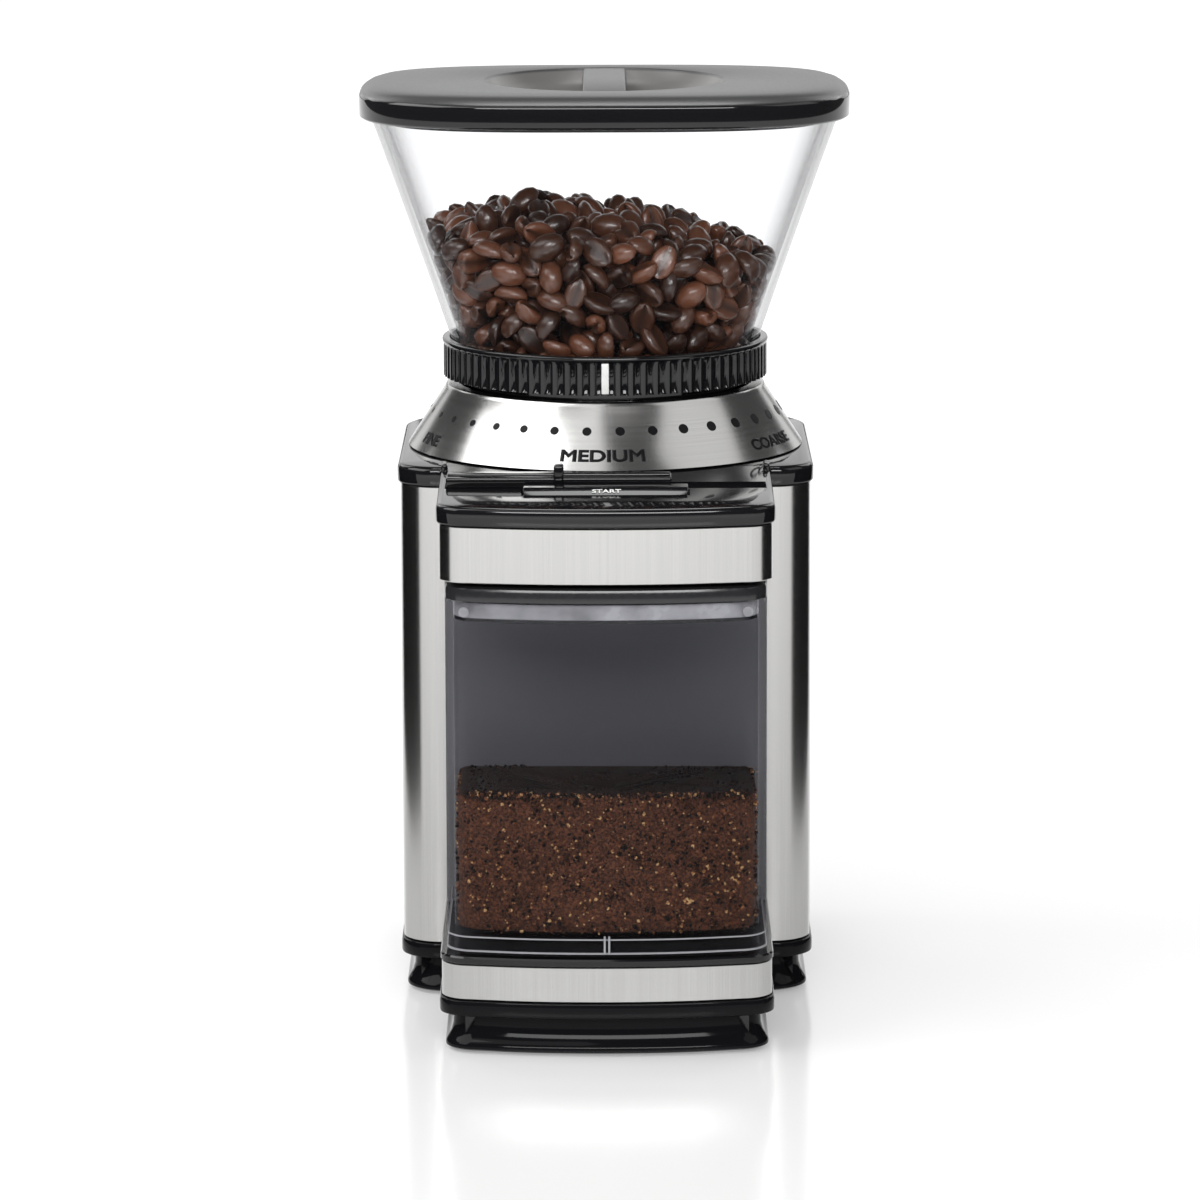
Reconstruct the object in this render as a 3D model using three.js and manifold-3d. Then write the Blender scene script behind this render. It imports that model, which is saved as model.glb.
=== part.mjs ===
// Burr coffee grinder: clear bean hopper on a ribbed collar that turns on a dial ring, steel-wrapped body
// with the motor, and a clear ground coffee chamber docked between the overhanging head and the platform.
// Millimetres, +Z up, +Y towards the back. The origin is the bottom centre of the overall box.
import * as THREE from 'three';
import { mergeVertices } from 'three/addons/utils/BufferGeometryUtils.js';
import Module from 'manifold-3d';

const wasm = await Module();
wasm.setup();

// ---- driving dimensions ----
const GAP = 0.3;                    // clearance between separate pieces
const BURR_Y = 32;                  // burr axis, behind the origin
const BODY_HALF_WIDTH = 61.6;       // wide steel-wrapped body
const BODY_FRONT_Y = -16.6;
const BODY_BACK_Y = 93.2;
const BACK_TRIM = 26;               // length over which the rear corners are rounded
const FRONT_TRIM = 8;               // the same for the front corners of head, platform and chamber
const WING_TRIM = 12;               // and for the wide body's front corners, beside the head
const SHARP_TRIM = 0.2;             // barely broken inner corners
const HEAD_HALF_WIDTH = 48.2;       // head and platform in front of the body
const HEAD_CORNER_Y = -87;
const HEAD_PEAK_Y = -96;            // control point of the bowed front
const PEAK_TRIM = 32;               // length over which the bow is rounded at its middle
const FOOT_RADIUS = 7;
const FOOT_PAD_Z = 0.7;
const BASE_BOTTOM_Z = 1;
const FOOT_FLANGE = 2.2;            // height of the flared foot under the neck
const NECK_INSET = 2.4;             // neck and flared foot stand back from the lip
const FOOT_INSET = 1;
const LIP_OUT = 0.7;
const HOLLOW_INSET = 6;             // the base's hollow, which the base plate closes
const PLATE_THICKNESS = 2.4;
const SCREW_HEAD_RADIUS = 3.2;
const SCREW_RADIUS = 1.6;
const SCREW_TOP_Z = 10;
const LIP_BOTTOM_Z = 11.6;
const LIP_TOP_Z = 16.3;
const PLATFORM_Z = 27.2;
const PLATFORM_DECK = 2.5;          // thickness of the platform's top
const TRAY_TOP_Z = 29.4;
const TRAY_RIM = 3;
const TRAY_DEPTH = 0.7;
const HEAD_FLOOR_Z = 139.7;
const DECK_BOTTOM_Z = 156.2;
const DECK_TOP_Z = 162;
const DECK_THICKNESS = 3.4;
const DECK_OUT = 0.8;               // the deck's rim stands out past the steel
const DECK_BORE_RADIUS = 52;
const SHEET = 0.8;                  // steel sheet
const WALL = 2.2;                   // moulded wall
const CONE_BOTTOM_RADIUS = 60.1;
const CONE_TOP_RADIUS = 48.5;
const CONE_TOP_Z = 181.1;
const CONE_LEDGE = 4;               // rolled rim at the top of the cone
const COLLAR_RADIUS = 49.6;
const COLLAR_BOTTOM_Z = 183.3;
const COLLAR_TOP_Z = 195;
const RIB_COUNT = 40;
const SLEEVE_RADIUS = 43.4;         // collar sleeve that stands on the adjusting ring
const SLEEVE_BORE_RADIUS = 41.2;
const SLEEVE_BOTTOM_Z = 168.3;
const HOPPER_SEAT_Z = 186.5;        // step in the collar that the hopper sits on
const POINTER_HALF_WIDTH = 1.1;
const HOPPER_FOOT_RADIUS = 47;
const SPOUT_BOTTOM_Z = 170.5;       // outlet under the hopper
const SPOUT_RADIUS = 22.5;
const SPOUT_BORE_RADIUS = 20;
const FUNNEL_RADIUS = 36;
const HOPPER_TOP_Z = 263;
const HOPPER_HALF_WIDTH = 70.5;
const HOPPER_HALF_DEPTH = 52.8;
const HOPPER_WALL = 2.6;
const LID_HALF_WIDTH = 74;
const LID_HALF_DEPTH = 56;
const LID_TOP_Z = 273;
const CORNER_POWER = 3.3;           // superellipse power of hopper mouth and lid
const LID_PLUG = 1.4;               // depth of the shallow plug that centres the lid in the hopper's mouth
const LID_PLUG_INSET = 3.8;
const RECESS_RADIUS = 36.5;
const GRIP_HALF_WIDTH = 6.3;
const CHAMBER_HALF_WIDTH = 46.6;
const CHAMBER_BACK_Y = -19;
const CHAMBER_RIM_Z = 133.4;
const CHAMBER_LID_TOP_Z = 138.2;
const CHAMBER_FLOOR_Z = 36;
const CHAMBER_INSET = 1.4;          // the chamber's front stands back from the head's
const CHAMBER_BACK_TRIM = 4;
const CHAMBER_LID_LIP = 3;          // depth of the lid's lip inside the chamber
const SLIDER_X = -13.7;
const SLIDER_HALF_LENGTH = 33;
const BLADE_HALF_WIDTH = 1.5;       // thumb blade and stem of the slider
const BLADE_HEIGHT = 6.6;
const STRIP_HEIGHT = 2.9;
const TRACK_HALF_LENGTH = 47;
const TRACK_FRONT_Y = -56.5;
const TRACK_BACK_Y = -45;
const TRACK_DEPTH = 1.4;
const STEM_Y = -50.7;               // middle of the amount slider's stem
const STEM_SLOT = [17.5, 2.5];      // half length and half width of the slot that the stem runs in
const BUTTON_Y = -64;               // middle of the start button
const BUTTON_HALF = [24, 5];
const BUTTON_HEIGHT = 1.8;
const BUTTON_FLANGE = 1.6;
const BOARD_Z = 145;
const BOARD_THICKNESS = 1.6;
const GLAND_Z = 26;                 // mains lead entry
const GLAND_RADIUS = 8;
const GLAND_BARREL_RADIUS = 5.6;
const GLAND_BORE_RADIUS = 3.2;
const CHUTE_HALF_WIDTH = 13;
const CHUTE_BOTTOM_Z = 142.5;
const CHUTE_TOP_Z = 153;
const CHUTE_MOUTH_Y = -46;
const CHUTE_OUTLET = 14;            // length of the outlet in the chute's floor
const SHAFT_BOTTOM_Z = 20;
const SHAFT_TOP_Z = 146;
const FAN_Z = 24;
const FAN_RADIUS = 29;
const FAN_HEIGHT = 9;
const BEARING_RADIUS = 9.5;
const BEARING_HEIGHT = 5;
const LOWER_BEARING_Z = 36;
const MOTOR_BOTTOM_Z = 42;
const MOTOR_TOP_Z = 112;
const MOUNT_TOP_Z = 118;
const IMPELLER_Z = 134;
const MOTOR_RADIUS = 36;
const MOTOR_WALL = 10;
const CUP_RADIUS = 42;              // burr housing
const CUP_BORE_RADIUS = 39.5;
const IMPELLER_RADIUS = 30;
const PADDLE_TIP = 38;
const PADDLE_HEIGHT = 11;
const BURR_RADIUS = 25;
const BURR_WIDTH = 11;
const BURR_HEIGHT = 5.2;
const BURR_GAP = 1.3;               // between the burrs at the middle setting
const CARRIER_RADIUS = 30;
const CARRIER_TOP_Z = 160;
const RING_BOTTOM_Z = 158;          // adjusting ring round the carrier
const RING_TOP_Z = 168;
const SHAFT_RADIUS = 4;

// ---- materials ----
function finish(colour, roughness, metalness, opacity = 1) {
  return new THREE.MeshStandardMaterial({
    color: colour, roughness, metalness, opacity, transparent: opacity < 1,
  });
}
const glossBlack = finish(0x0b0b0d, 0.12, 0);
const satinBlack = finish(0x151517, 0.45, 0);
const darkGrey = finish(0x3a3b3e, 0.5, 0);
const steel = finish(0xc9c7c3, 0.3, 1);
const burrSteel = finish(0x8a8b8e, 0.35, 1);
const castMetal = finish(0x9b9c9e, 0.5, 1);
const clear = finish(0xf2f5f6, 0.05, 0, 0.25);
const smoked = finish(0x4c4d50, 0.08, 0, 0.45);
const white = finish(0xf4f4f2, 0.4, 0);
const rubber = finish(0x1b1b1b, 0.9, 0);
const copper = finish(0xb06a3c, 0.4, 1);
const boardGreen = finish(0x1f5a38, 0.6, 0);

// ---- scene graph ----
const group = new THREE.Group();

function place(name, geometry, material, parent = group) {
  const mesh = new THREE.Mesh(geometry, material);
  mesh.name = name;
  parent.add(mesh);
  return mesh;
}

// ---- booleans ----
function toSolid(geometry) {
  const copy = geometry.clone();
  copy.deleteAttribute('normal');
  copy.deleteAttribute('uv');
  const merged = mergeVertices(copy, 1e-4);
  return new wasm.Manifold(new wasm.Mesh({
    numProp: 3,
    vertProperties: new Float32Array(merged.attributes.position.array),
    triVerts: new Uint32Array(merged.index.array),
  }));
}

function toGeometry(solid) {
  const mesh = solid.getMesh();
  const geometry = new THREE.BufferGeometry();
  geometry.setAttribute('position', new THREE.BufferAttribute(mesh.vertProperties, 3));
  geometry.setIndex(new THREE.BufferAttribute(mesh.triVerts, 1));
  geometry.computeVertexNormals();
  return geometry;
}

function join(...geometries) {
  return toGeometry(geometries.map(toSolid).reduce((sum, solid) => sum.add(solid)));
}

function cut(geometry, ...tools) {
  return toGeometry(tools.map(toSolid).reduce((rest, tool) => rest.subtract(tool), toSolid(geometry)));
}

// ---- basic shapes ----
// Closed outline through corners [x, y, cut], each rounded over the length cut.
function roundedOutline(corners, divisions = 4) {
  const shape = new THREE.Shape();
  corners.forEach(([x, y, trim], i) => {
    const before = corners[(i + corners.length - 1) % corners.length];
    const after = corners[(i + 1) % corners.length];
    const corner = new THREE.Vector2(x, y);
    const entry = new THREE.Vector2(before[0], before[1]).sub(corner).setLength(trim).add(corner);
    const exit = new THREE.Vector2(after[0], after[1]).sub(corner).setLength(trim).add(corner);
    if (i === 0) {
      shape.moveTo(entry.x, entry.y);
    } else {
      shape.lineTo(entry.x, entry.y);
    }
    const arc = new THREE.QuadraticBezierCurve(entry, corner, exit).getPoints(divisions);
    arc.slice(1).forEach((point) => shape.lineTo(point.x, point.y));
  });
  return shape;
}

function slab(shape, bottom, top) {
  const geometry = new THREE.ExtrudeGeometry(shape, { depth: top - bottom, bevelEnabled: false });
  return geometry.translate(0, 0, bottom);
}

// Block between two corners.
function block(x0, y0, z0, x1, y1, z1) {
  const geometry = new THREE.BoxGeometry(x1 - x0, y1 - y0, z1 - z0);
  return geometry.translate((x0 + x1) / 2, (y0 + y1) / 2, (z0 + z1) / 2);
}

// Upright cylinder on the burr axis unless x and y are given.
function rod(radius, bottom, top, x = 0, y = BURR_Y, segments = 24) {
  const geometry = new THREE.CylinderGeometry(radius, radius, top - bottom, segments);
  return geometry.rotateX(Math.PI / 2).translate(x, y, (bottom + top) / 2);
}

// Turned shape on the burr axis from [radius, z] pairs listed from low to high on the outside.
function turned(profile, segments = 48) {
  const points = profile.map(([radius, z]) => new THREE.Vector2(radius, z));
  points.push(points[0].clone());
  const geometry = new THREE.LatheGeometry(points, segments);
  return geometry.rotateX(Math.PI / 2).translate(0, BURR_Y, 0);
}

function tube(outer, inner, bottom, top, segments = 48) {
  return turned([[inner, bottom], [outer, bottom], [outer, top], [inner, top]], segments);
}

// ---- plan outlines ----
// Outline of head and platform, back to the body's front face.
function headPlan(grow = 0, backY = BODY_FRONT_Y - GAP) {
  const x = HEAD_HALF_WIDTH + grow;
  return roundedOutline([
    [-x, HEAD_CORNER_Y - grow, FRONT_TRIM], [0, HEAD_PEAK_Y - grow, PEAK_TRIM],
    [x, HEAD_CORNER_Y - grow, FRONT_TRIM], [x, backY, SHARP_TRIM], [-x, backY, SHARP_TRIM],
  ]);
}

function bodyPlan(grow = 0) {
  const x = BODY_HALF_WIDTH + grow;
  return roundedOutline([
    [-x, BODY_FRONT_Y - grow, WING_TRIM], [x, BODY_FRONT_Y - grow, WING_TRIM],
    [x, BODY_BACK_Y + grow, BACK_TRIM], [-x, BODY_BACK_Y + grow, BACK_TRIM],
  ]);
}

// T-shaped outline of the whole footprint: wide body with the head in front.
function fullPlan(grow = 0) {
  const x = BODY_HALF_WIDTH + grow;
  const headX = HEAD_HALF_WIDTH + grow;
  const front = BODY_FRONT_Y - grow;
  return roundedOutline([
    [-headX, HEAD_CORNER_Y - grow, FRONT_TRIM], [0, HEAD_PEAK_Y - grow, PEAK_TRIM],
    [headX, HEAD_CORNER_Y - grow, FRONT_TRIM], [headX, front, SHARP_TRIM], [x, front, WING_TRIM],
    [x, BODY_BACK_Y + grow, BACK_TRIM], [-x, BODY_BACK_Y + grow, BACK_TRIM],
    [-x, front, WING_TRIM], [-headX, front, SHARP_TRIM],
  ]);
}

function chamberPlan(grow = 0) {
  const x = CHAMBER_HALF_WIDTH + grow;
  const corner = HEAD_CORNER_Y + CHAMBER_INSET - grow;
  const back = CHAMBER_BACK_Y + grow;
  return roundedOutline([
    [-x, corner, FRONT_TRIM], [0, HEAD_PEAK_Y + CHAMBER_INSET - grow, PEAK_TRIM], [x, corner, FRONT_TRIM],
    [x, back, CHAMBER_BACK_TRIM], [-x, back, CHAMBER_BACK_TRIM],
  ]);
}

// Distance from the burr axis to a superellipse in the direction angle.
function superellipseRadius(angle, halfWidth, halfDepth) {
  const x = Math.abs(Math.cos(angle)) / halfWidth;
  const y = Math.abs(Math.sin(angle)) / halfDepth;
  return (x ** CORNER_POWER + y ** CORNER_POWER) ** (-1 / CORNER_POWER);
}

function superellipse(halfWidth, halfDepth, count = 64) {
  const points = [];
  for (let i = 0; i < count; i += 1) {
    const angle = (i / count) * 2 * Math.PI;
    const radius = superellipseRadius(angle, halfWidth, halfDepth);
    points.push(new THREE.Vector2(radius * Math.cos(angle), radius * Math.sin(angle) + BURR_Y));
  }
  return new THREE.Shape(points);
}

// ---- base ----
const FEET = [
  ['foot_front_left', -38, -72], ['foot_front_right', 38, -72],
  ['foot_rear_left', -48, 74], ['foot_rear_right', 48, 74],
];

function makeBase() {
  const outside = join(
    slab(fullPlan(-NECK_INSET), BASE_BOTTOM_Z, LIP_BOTTOM_Z + 1),
    slab(fullPlan(-FOOT_INSET), BASE_BOTTOM_Z, BASE_BOTTOM_Z + FOOT_FLANGE),
    slab(fullPlan(LIP_OUT), LIP_BOTTOM_Z, LIP_TOP_Z),
    slab(headPlan(-SHEET - GAP), LIP_TOP_Z - 1, PLATFORM_Z - GAP),
  );
  const base = cut(
    outside,
    slab(fullPlan(-HOLLOW_INSET), -1, LIP_TOP_Z - WALL),
    slab(headPlan(-HOLLOW_INSET, BODY_FRONT_Y - 3), FOOT_FLANGE, PLATFORM_Z - PLATFORM_DECK),
  );
  place('base', base, glossBlack);
}

function makeBasePlate() {
  const screws = baseScrewPlaces();
  const holes = screws.map(([x, y]) => rod(SCREW_RADIUS + 0.4, -1, SCREW_TOP_Z, x, y, 12));
  const sinks = screws.map(([x, y]) => rod(SCREW_HEAD_RADIUS + 0.4, -1, BASE_BOTTOM_Z + 1.2, x, y, 16));
  const plate = slab(fullPlan(-HOLLOW_INSET - 0.4), BASE_BOTTOM_Z, BASE_BOTTOM_Z + PLATE_THICKNESS);
  place('base_plate', cut(plate, ...holes, ...sinks), satinBlack);
}

function baseScrewPlaces() {
  return [[-34, -40], [34, -40], [-44, 56], [44, 56]];
}

function makeBaseScrews() {
  baseScrewPlaces().forEach(([x, y], i) => {
    const headTop = BASE_BOTTOM_Z + 1.1;
    const head = rod(SCREW_HEAD_RADIUS, BASE_BOTTOM_Z, headTop, x, y, 16);
    const shank = rod(SCREW_RADIUS, headTop - 0.2, SCREW_TOP_Z, x, y, 12);
    place(`base_screw_${i + 1}`, join(head, shank), steel);
  });
}

function makeFeet() {
  FEET.forEach(([name, x, y]) => place(name, rod(FOOT_RADIUS, 0, FOOT_PAD_Z, x, y, 24), rubber));
}

function makePlatform() {
  const tray = cut(
    slab(headPlan(0.3), PLATFORM_Z, TRAY_TOP_Z),
    slab(headPlan(-TRAY_RIM), TRAY_TOP_Z - TRAY_DEPTH, TRAY_TOP_Z + 1),
  );
  place('platform_tray', tray, glossBlack);
  const band = cut(
    slab(headPlan(), LIP_TOP_Z + GAP, PLATFORM_Z - GAP),
    slab(headPlan(-SHEET, BODY_FRONT_Y + 5), LIP_TOP_Z - 1, PLATFORM_Z + 1),
  );
  place('front_band', band, steel);
}

// ---- body ----
function makeBody() {
  const rearBore = rearRod(GLAND_BARREL_RADIUS + 0.4, BODY_BACK_Y - 10, BODY_BACK_Y + 10);
  const shell = cut(
    slab(bodyPlan(), LIP_TOP_Z + GAP, DECK_BOTTOM_Z - GAP),
    slab(bodyPlan(-SHEET), 0, DECK_TOP_Z),
    block(-HEAD_HALF_WIDTH, BODY_FRONT_Y - 5, 0, HEAD_HALF_WIDTH, BODY_FRONT_Y + 10, DECK_TOP_Z),
    rearBore,
  );
  place('steel_shell', shell, steel);
  const wall = block(
    -HEAD_HALF_WIDTH + GAP, BODY_FRONT_Y, LIP_TOP_Z + GAP,
    HEAD_HALF_WIDTH - GAP, BODY_FRONT_Y + 2, DECK_BOTTOM_Z - GAP,
  );
  const chuteWindow = block(
    -CHUTE_HALF_WIDTH - 1, BODY_FRONT_Y - 5, CHUTE_BOTTOM_Z - 1, CHUTE_HALF_WIDTH + 1, 0, CHUTE_TOP_Z + 1,
  );
  place('front_wall', cut(wall, chuteWindow), darkGrey);
}

// Cylinder along Y at the mains lead's entry.
function rearRod(radius, front, back, segments = 24) {
  const geometry = new THREE.CylinderGeometry(radius, radius, back - front, segments);
  return geometry.translate(0, (front + back) / 2, GLAND_Z);
}

function makeCordGland() {
  const flange = rearRod(GLAND_RADIUS, BODY_BACK_Y + GAP, BODY_BACK_Y + GAP + 0.4);
  const barrel = rearRod(GLAND_BARREL_RADIUS, BODY_BACK_Y - 7.1, BODY_BACK_Y + 0.9);
  const bore = rearRod(GLAND_BORE_RADIUS, BODY_BACK_Y - 15, BODY_BACK_Y + 15, 16);
  place('cord_gland', cut(join(flange, barrel), bore), satinBlack);
}

// ---- head ----
function makeHead() {
  const panel = cut(
    slab(headPlan(), HEAD_FLOOR_Z, DECK_BOTTOM_Z - GAP),
    slab(headPlan(-SHEET, BODY_FRONT_Y + 5), 0, DECK_TOP_Z),
  );
  place('head_panel', panel, steel);
  const outlet = block(
    -CHUTE_HALF_WIDTH, CHUTE_MOUTH_Y, HEAD_FLOOR_Z - 2,
    CHUTE_HALF_WIDTH, CHUTE_MOUTH_Y + CHUTE_OUTLET + 2, HEAD_FLOOR_Z + 5,
  );
  place('head_floor', cut(slab(headPlan(-SHEET - GAP), HEAD_FLOOR_Z, HEAD_FLOOR_Z + WALL), outlet), satinBlack);
}

function buttonPlan(grow = 0) {
  const x = BUTTON_HALF[0] + grow;
  const front = BUTTON_Y - BUTTON_HALF[1] - grow;
  const back = BUTTON_Y + BUTTON_HALF[1] + grow;
  return roundedOutline([[-x, front, 5], [x, front, 5], [x, back, 3], [-x, back, 3]]);
}

function makeTopCover() {
  const below = DECK_BOTTOM_Z - 10;
  const above = DECK_TOP_Z + 10;
  const [slotX, slotY] = STEM_SLOT;
  const cover = cut(
    slab(fullPlan(DECK_OUT), DECK_BOTTOM_Z, DECK_TOP_Z),
    slab(fullPlan(-2), DECK_BOTTOM_Z - 1, DECK_TOP_Z - DECK_THICKNESS),
    rod(DECK_BORE_RADIUS, below, above, 0, BURR_Y, 64),
    slab(buttonPlan(0.5), below, above),
    block(-TRACK_HALF_LENGTH, TRACK_FRONT_Y, DECK_TOP_Z - TRACK_DEPTH, TRACK_HALF_LENGTH, TRACK_BACK_Y, above),
    block(-slotX, STEM_Y - slotY, below, slotX, STEM_Y + slotY, above),
  );
  place('top_cover', cover, glossBlack);
}

function makeAmountSlider() {
  const left = SLIDER_X - SLIDER_HALF_LENGTH;
  const right = SLIDER_X + SLIDER_HALF_LENGTH;
  const half = BLADE_HALF_WIDTH;
  const foot = DECK_TOP_Z - TRACK_DEPTH + GAP;
  const slider = join(
    block(left, TRACK_FRONT_Y + 1.2, foot, right, TRACK_BACK_Y - GAP, DECK_TOP_Z + STRIP_HEIGHT),
    block(SLIDER_X - half, TRACK_FRONT_Y + GAP, foot, SLIDER_X + half, STEM_Y, DECK_TOP_Z + BLADE_HEIGHT),
    block(SLIDER_X - half, STEM_Y - half, DECK_BOTTOM_Z - 1.4, SLIDER_X + half, STEM_Y + half, DECK_TOP_Z),
  );
  place('amount_slider', slider, glossBlack);
  const control = block(-30, STEM_Y - 3.8, BOARD_Z + 2, 30, STEM_Y + 3.8, DECK_BOTTOM_Z - 2);
  place('slide_control', control, satinBlack);
}

function makeStartButton() {
  const flangeTop = DECK_TOP_Z - DECK_THICKNESS - GAP;
  const boardTop = BOARD_Z + BOARD_THICKNESS;
  const switchTop = boardTop + 4.4;
  const button = join(
    slab(buttonPlan(), flangeTop - 1, DECK_TOP_Z + BUTTON_HEIGHT),
    slab(buttonPlan(BUTTON_FLANGE), flangeTop - BUTTON_FLANGE, flangeTop),
  );
  place('start_button', button, glossBlack);
  place('start_switch', block(-5, BUTTON_Y - 3, boardTop + GAP, 5, BUTTON_Y + 3, switchTop), satinBlack);
  const spring = tubeAt(0, BUTTON_Y, 2.6, 1.8, switchTop + GAP, flangeTop - BUTTON_FLANGE - GAP);
  place('button_spring', spring, steel);
  place('circuit_board', block(-42, BUTTON_Y - 18, BOARD_Z, 42, BUTTON_Y + 6, boardTop), boardGreen);
}

function tubeAt(x, y, outer, inner, bottom, top) {
  return cut(rod(outer, bottom, top, x, y, 20), rod(inner, bottom - 1, top + 1, x, y, 20));
}

// ---- dial ring, collar, hopper and lid ----
function makeDialRing() {
  place('dial_ring', turned([
    [CONE_BOTTOM_RADIUS - 1.4, DECK_TOP_Z + GAP], [CONE_BOTTOM_RADIUS, DECK_TOP_Z + GAP],
    [CONE_TOP_RADIUS, CONE_TOP_Z - 0.5], [CONE_TOP_RADIUS - 0.5, CONE_TOP_Z],
    [CONE_TOP_RADIUS - CONE_LEDGE, CONE_TOP_Z], [CONE_TOP_RADIUS - CONE_LEDGE, CONE_TOP_Z - 1.2],
    [CONE_TOP_RADIUS - 1.2, CONE_TOP_Z - 1.2],
  ], 72), steel);
}

function ribbedOutline(outer, inner) {
  const points = [];
  for (let i = 0; i < RIB_COUNT; i += 1) {
    const middle = -Math.PI / 2 + (i / RIB_COUNT) * 2 * Math.PI;
    const step = Math.PI / RIB_COUNT;
    [[-0.55, outer], [0.55, outer], [0.85, inner], [1.15, inner]].forEach(([turn, radius]) => {
      const angle = middle + turn * step;
      points.push(new THREE.Vector2(radius * Math.cos(angle), radius * Math.sin(angle) + BURR_Y));
    });
  }
  return new THREE.Shape(points);
}

function makeCollar() {
  const outline = ribbedOutline(COLLAR_RADIUS - 0.4, COLLAR_RADIUS - 1.3);
  const ribs = slab(outline, COLLAR_BOTTOM_Z, COLLAR_TOP_Z - 1.4);
  const lip = rod(COLLAR_RADIUS, COLLAR_TOP_Z - 1.6, COLLAR_TOP_Z, 0, BURR_Y, 80);
  const sleeve = rod(SLEEVE_RADIUS, SLEEVE_BOTTOM_Z, COLLAR_BOTTOM_Z + 1, 0, BURR_Y, 48);
  const front = BURR_Y - COLLAR_RADIUS;
  const slotX = POINTER_HALF_WIDTH + GAP;
  const collar = cut(
    join(ribs, lip, sleeve),
    rod(SLEEVE_BORE_RADIUS, SLEEVE_BOTTOM_Z - 5, HOPPER_SEAT_Z, 0, BURR_Y, 48),
    rod(HOPPER_FOOT_RADIUS + GAP, HOPPER_SEAT_Z - 0.1, COLLAR_TOP_Z + 5, 0, BURR_Y, 64),
    block(-slotX, front - 5, COLLAR_BOTTOM_Z - 1, slotX, front + 2, COLLAR_TOP_Z + 1),
  );
  place('hopper_collar', collar, glossBlack);
  const pointer = block(
    -POINTER_HALF_WIDTH, front - 0.1, COLLAR_BOTTOM_Z + 0.6,
    POINTER_HALF_WIDTH, front + 1.7, COLLAR_TOP_Z - 1.9,
  );
  place('hopper_pointer', pointer, white);
}

// The hopper is turned, and its wall above the collar is then spread from a circle to a superellipse.
function makeHopper() {
  const footZ = HOPPER_SEAT_Z + GAP;
  const outer = HOPPER_FOOT_RADIUS;
  const inner = HOPPER_FOOT_RADIUS - HOPPER_WALL;
  const middleZ = (COLLAR_TOP_Z + HOPPER_TOP_Z) / 2;
  const geometry = turned([
    [SPOUT_BORE_RADIUS, SPOUT_BOTTOM_Z], [SPOUT_RADIUS, SPOUT_BOTTOM_Z], [SPOUT_RADIUS, footZ - 7],
    [FUNNEL_RADIUS + 1, footZ - GAP], [outer, footZ], [outer, COLLAR_TOP_Z],
    [outer, middleZ], [outer, HOPPER_TOP_Z], [inner, HOPPER_TOP_Z], [inner, middleZ],
    [inner, COLLAR_TOP_Z], [inner, footZ + HOPPER_WALL], [FUNNEL_RADIUS, footZ + 2.2],
    [SPOUT_BORE_RADIUS, footZ - 5],
  ], 64);
  const position = geometry.attributes.position;
  for (let i = 0; i < position.count; i += 1) {
    const z = position.getZ(i);
    if (z > COLLAR_TOP_Z + 0.01) {
      const rise = (z - COLLAR_TOP_Z) / (HOPPER_TOP_Z - COLLAR_TOP_Z);
      const angle = Math.atan2(position.getY(i) - BURR_Y, position.getX(i));
      const offset = Math.hypot(position.getX(i), position.getY(i) - BURR_Y) - HOPPER_FOOT_RADIUS;
      const mouth = superellipseRadius(angle, HOPPER_HALF_WIDTH, HOPPER_HALF_DEPTH);
      const radius = HOPPER_FOOT_RADIUS + (mouth - HOPPER_FOOT_RADIUS) * rise + offset;
      position.setXY(i, radius * Math.cos(angle), radius * Math.sin(angle) + BURR_Y);
    }
  }
  place('hopper', geometry, clear);
}

function makeLid() {
  const bottom = HOPPER_TOP_Z + GAP;
  const above = LID_TOP_Z + 1;
  const gripX = GRIP_HALF_WIDTH;
  const plug = superellipse(HOPPER_HALF_WIDTH - LID_PLUG_INSET, HOPPER_HALF_DEPTH - LID_PLUG_INSET);
  const lid = cut(
    join(
      slab(superellipse(LID_HALF_WIDTH, LID_HALF_DEPTH), bottom, LID_TOP_Z),
      slab(plug, bottom - LID_PLUG, bottom + 1),
    ),
    cut(
      turned([[0, bottom + 1.3], [24, bottom + 1.9], [32, bottom + 4.3], [RECESS_RADIUS, above], [0, above]]),
      block(-gripX, BURR_Y - LID_HALF_DEPTH, bottom, gripX, BURR_Y + LID_HALF_DEPTH, above + 1),
    ),
  );
  place('hopper_lid', lid, glossBlack);
}

// ---- ground coffee chamber ----
function makeChamber() {
  const skirtZ = TRAY_TOP_Z + GAP;
  const chamber = cut(
    slab(chamberPlan(), skirtZ, CHAMBER_RIM_Z),
    slab(chamberPlan(-WALL), CHAMBER_FLOOR_Z, CHAMBER_RIM_Z + 1),
    slab(chamberPlan(-WALL), skirtZ - 1, CHAMBER_FLOOR_Z - WALL),
  );
  place('chamber', chamber, smoked);
  const inlet = block(
    -CHUTE_HALF_WIDTH - 2, CHUTE_MOUTH_Y - 2, CHAMBER_RIM_Z - 5,
    CHUTE_HALF_WIDTH + 2, CHUTE_MOUTH_Y + 18, CHAMBER_LID_TOP_Z + 1,
  );
  const lid = cut(
    join(
      slab(chamberPlan(), CHAMBER_RIM_Z + GAP, CHAMBER_LID_TOP_Z),
      slab(chamberPlan(-WALL - 0.4), CHAMBER_RIM_Z - CHAMBER_LID_LIP, CHAMBER_RIM_Z + 1),
    ),
    slab(chamberPlan(-WALL - 2), CHAMBER_RIM_Z - CHAMBER_LID_LIP - 1, CHAMBER_LID_TOP_Z - 2),
    inlet,
  );
  place('chamber_lid', lid, smoked);
}

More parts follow.
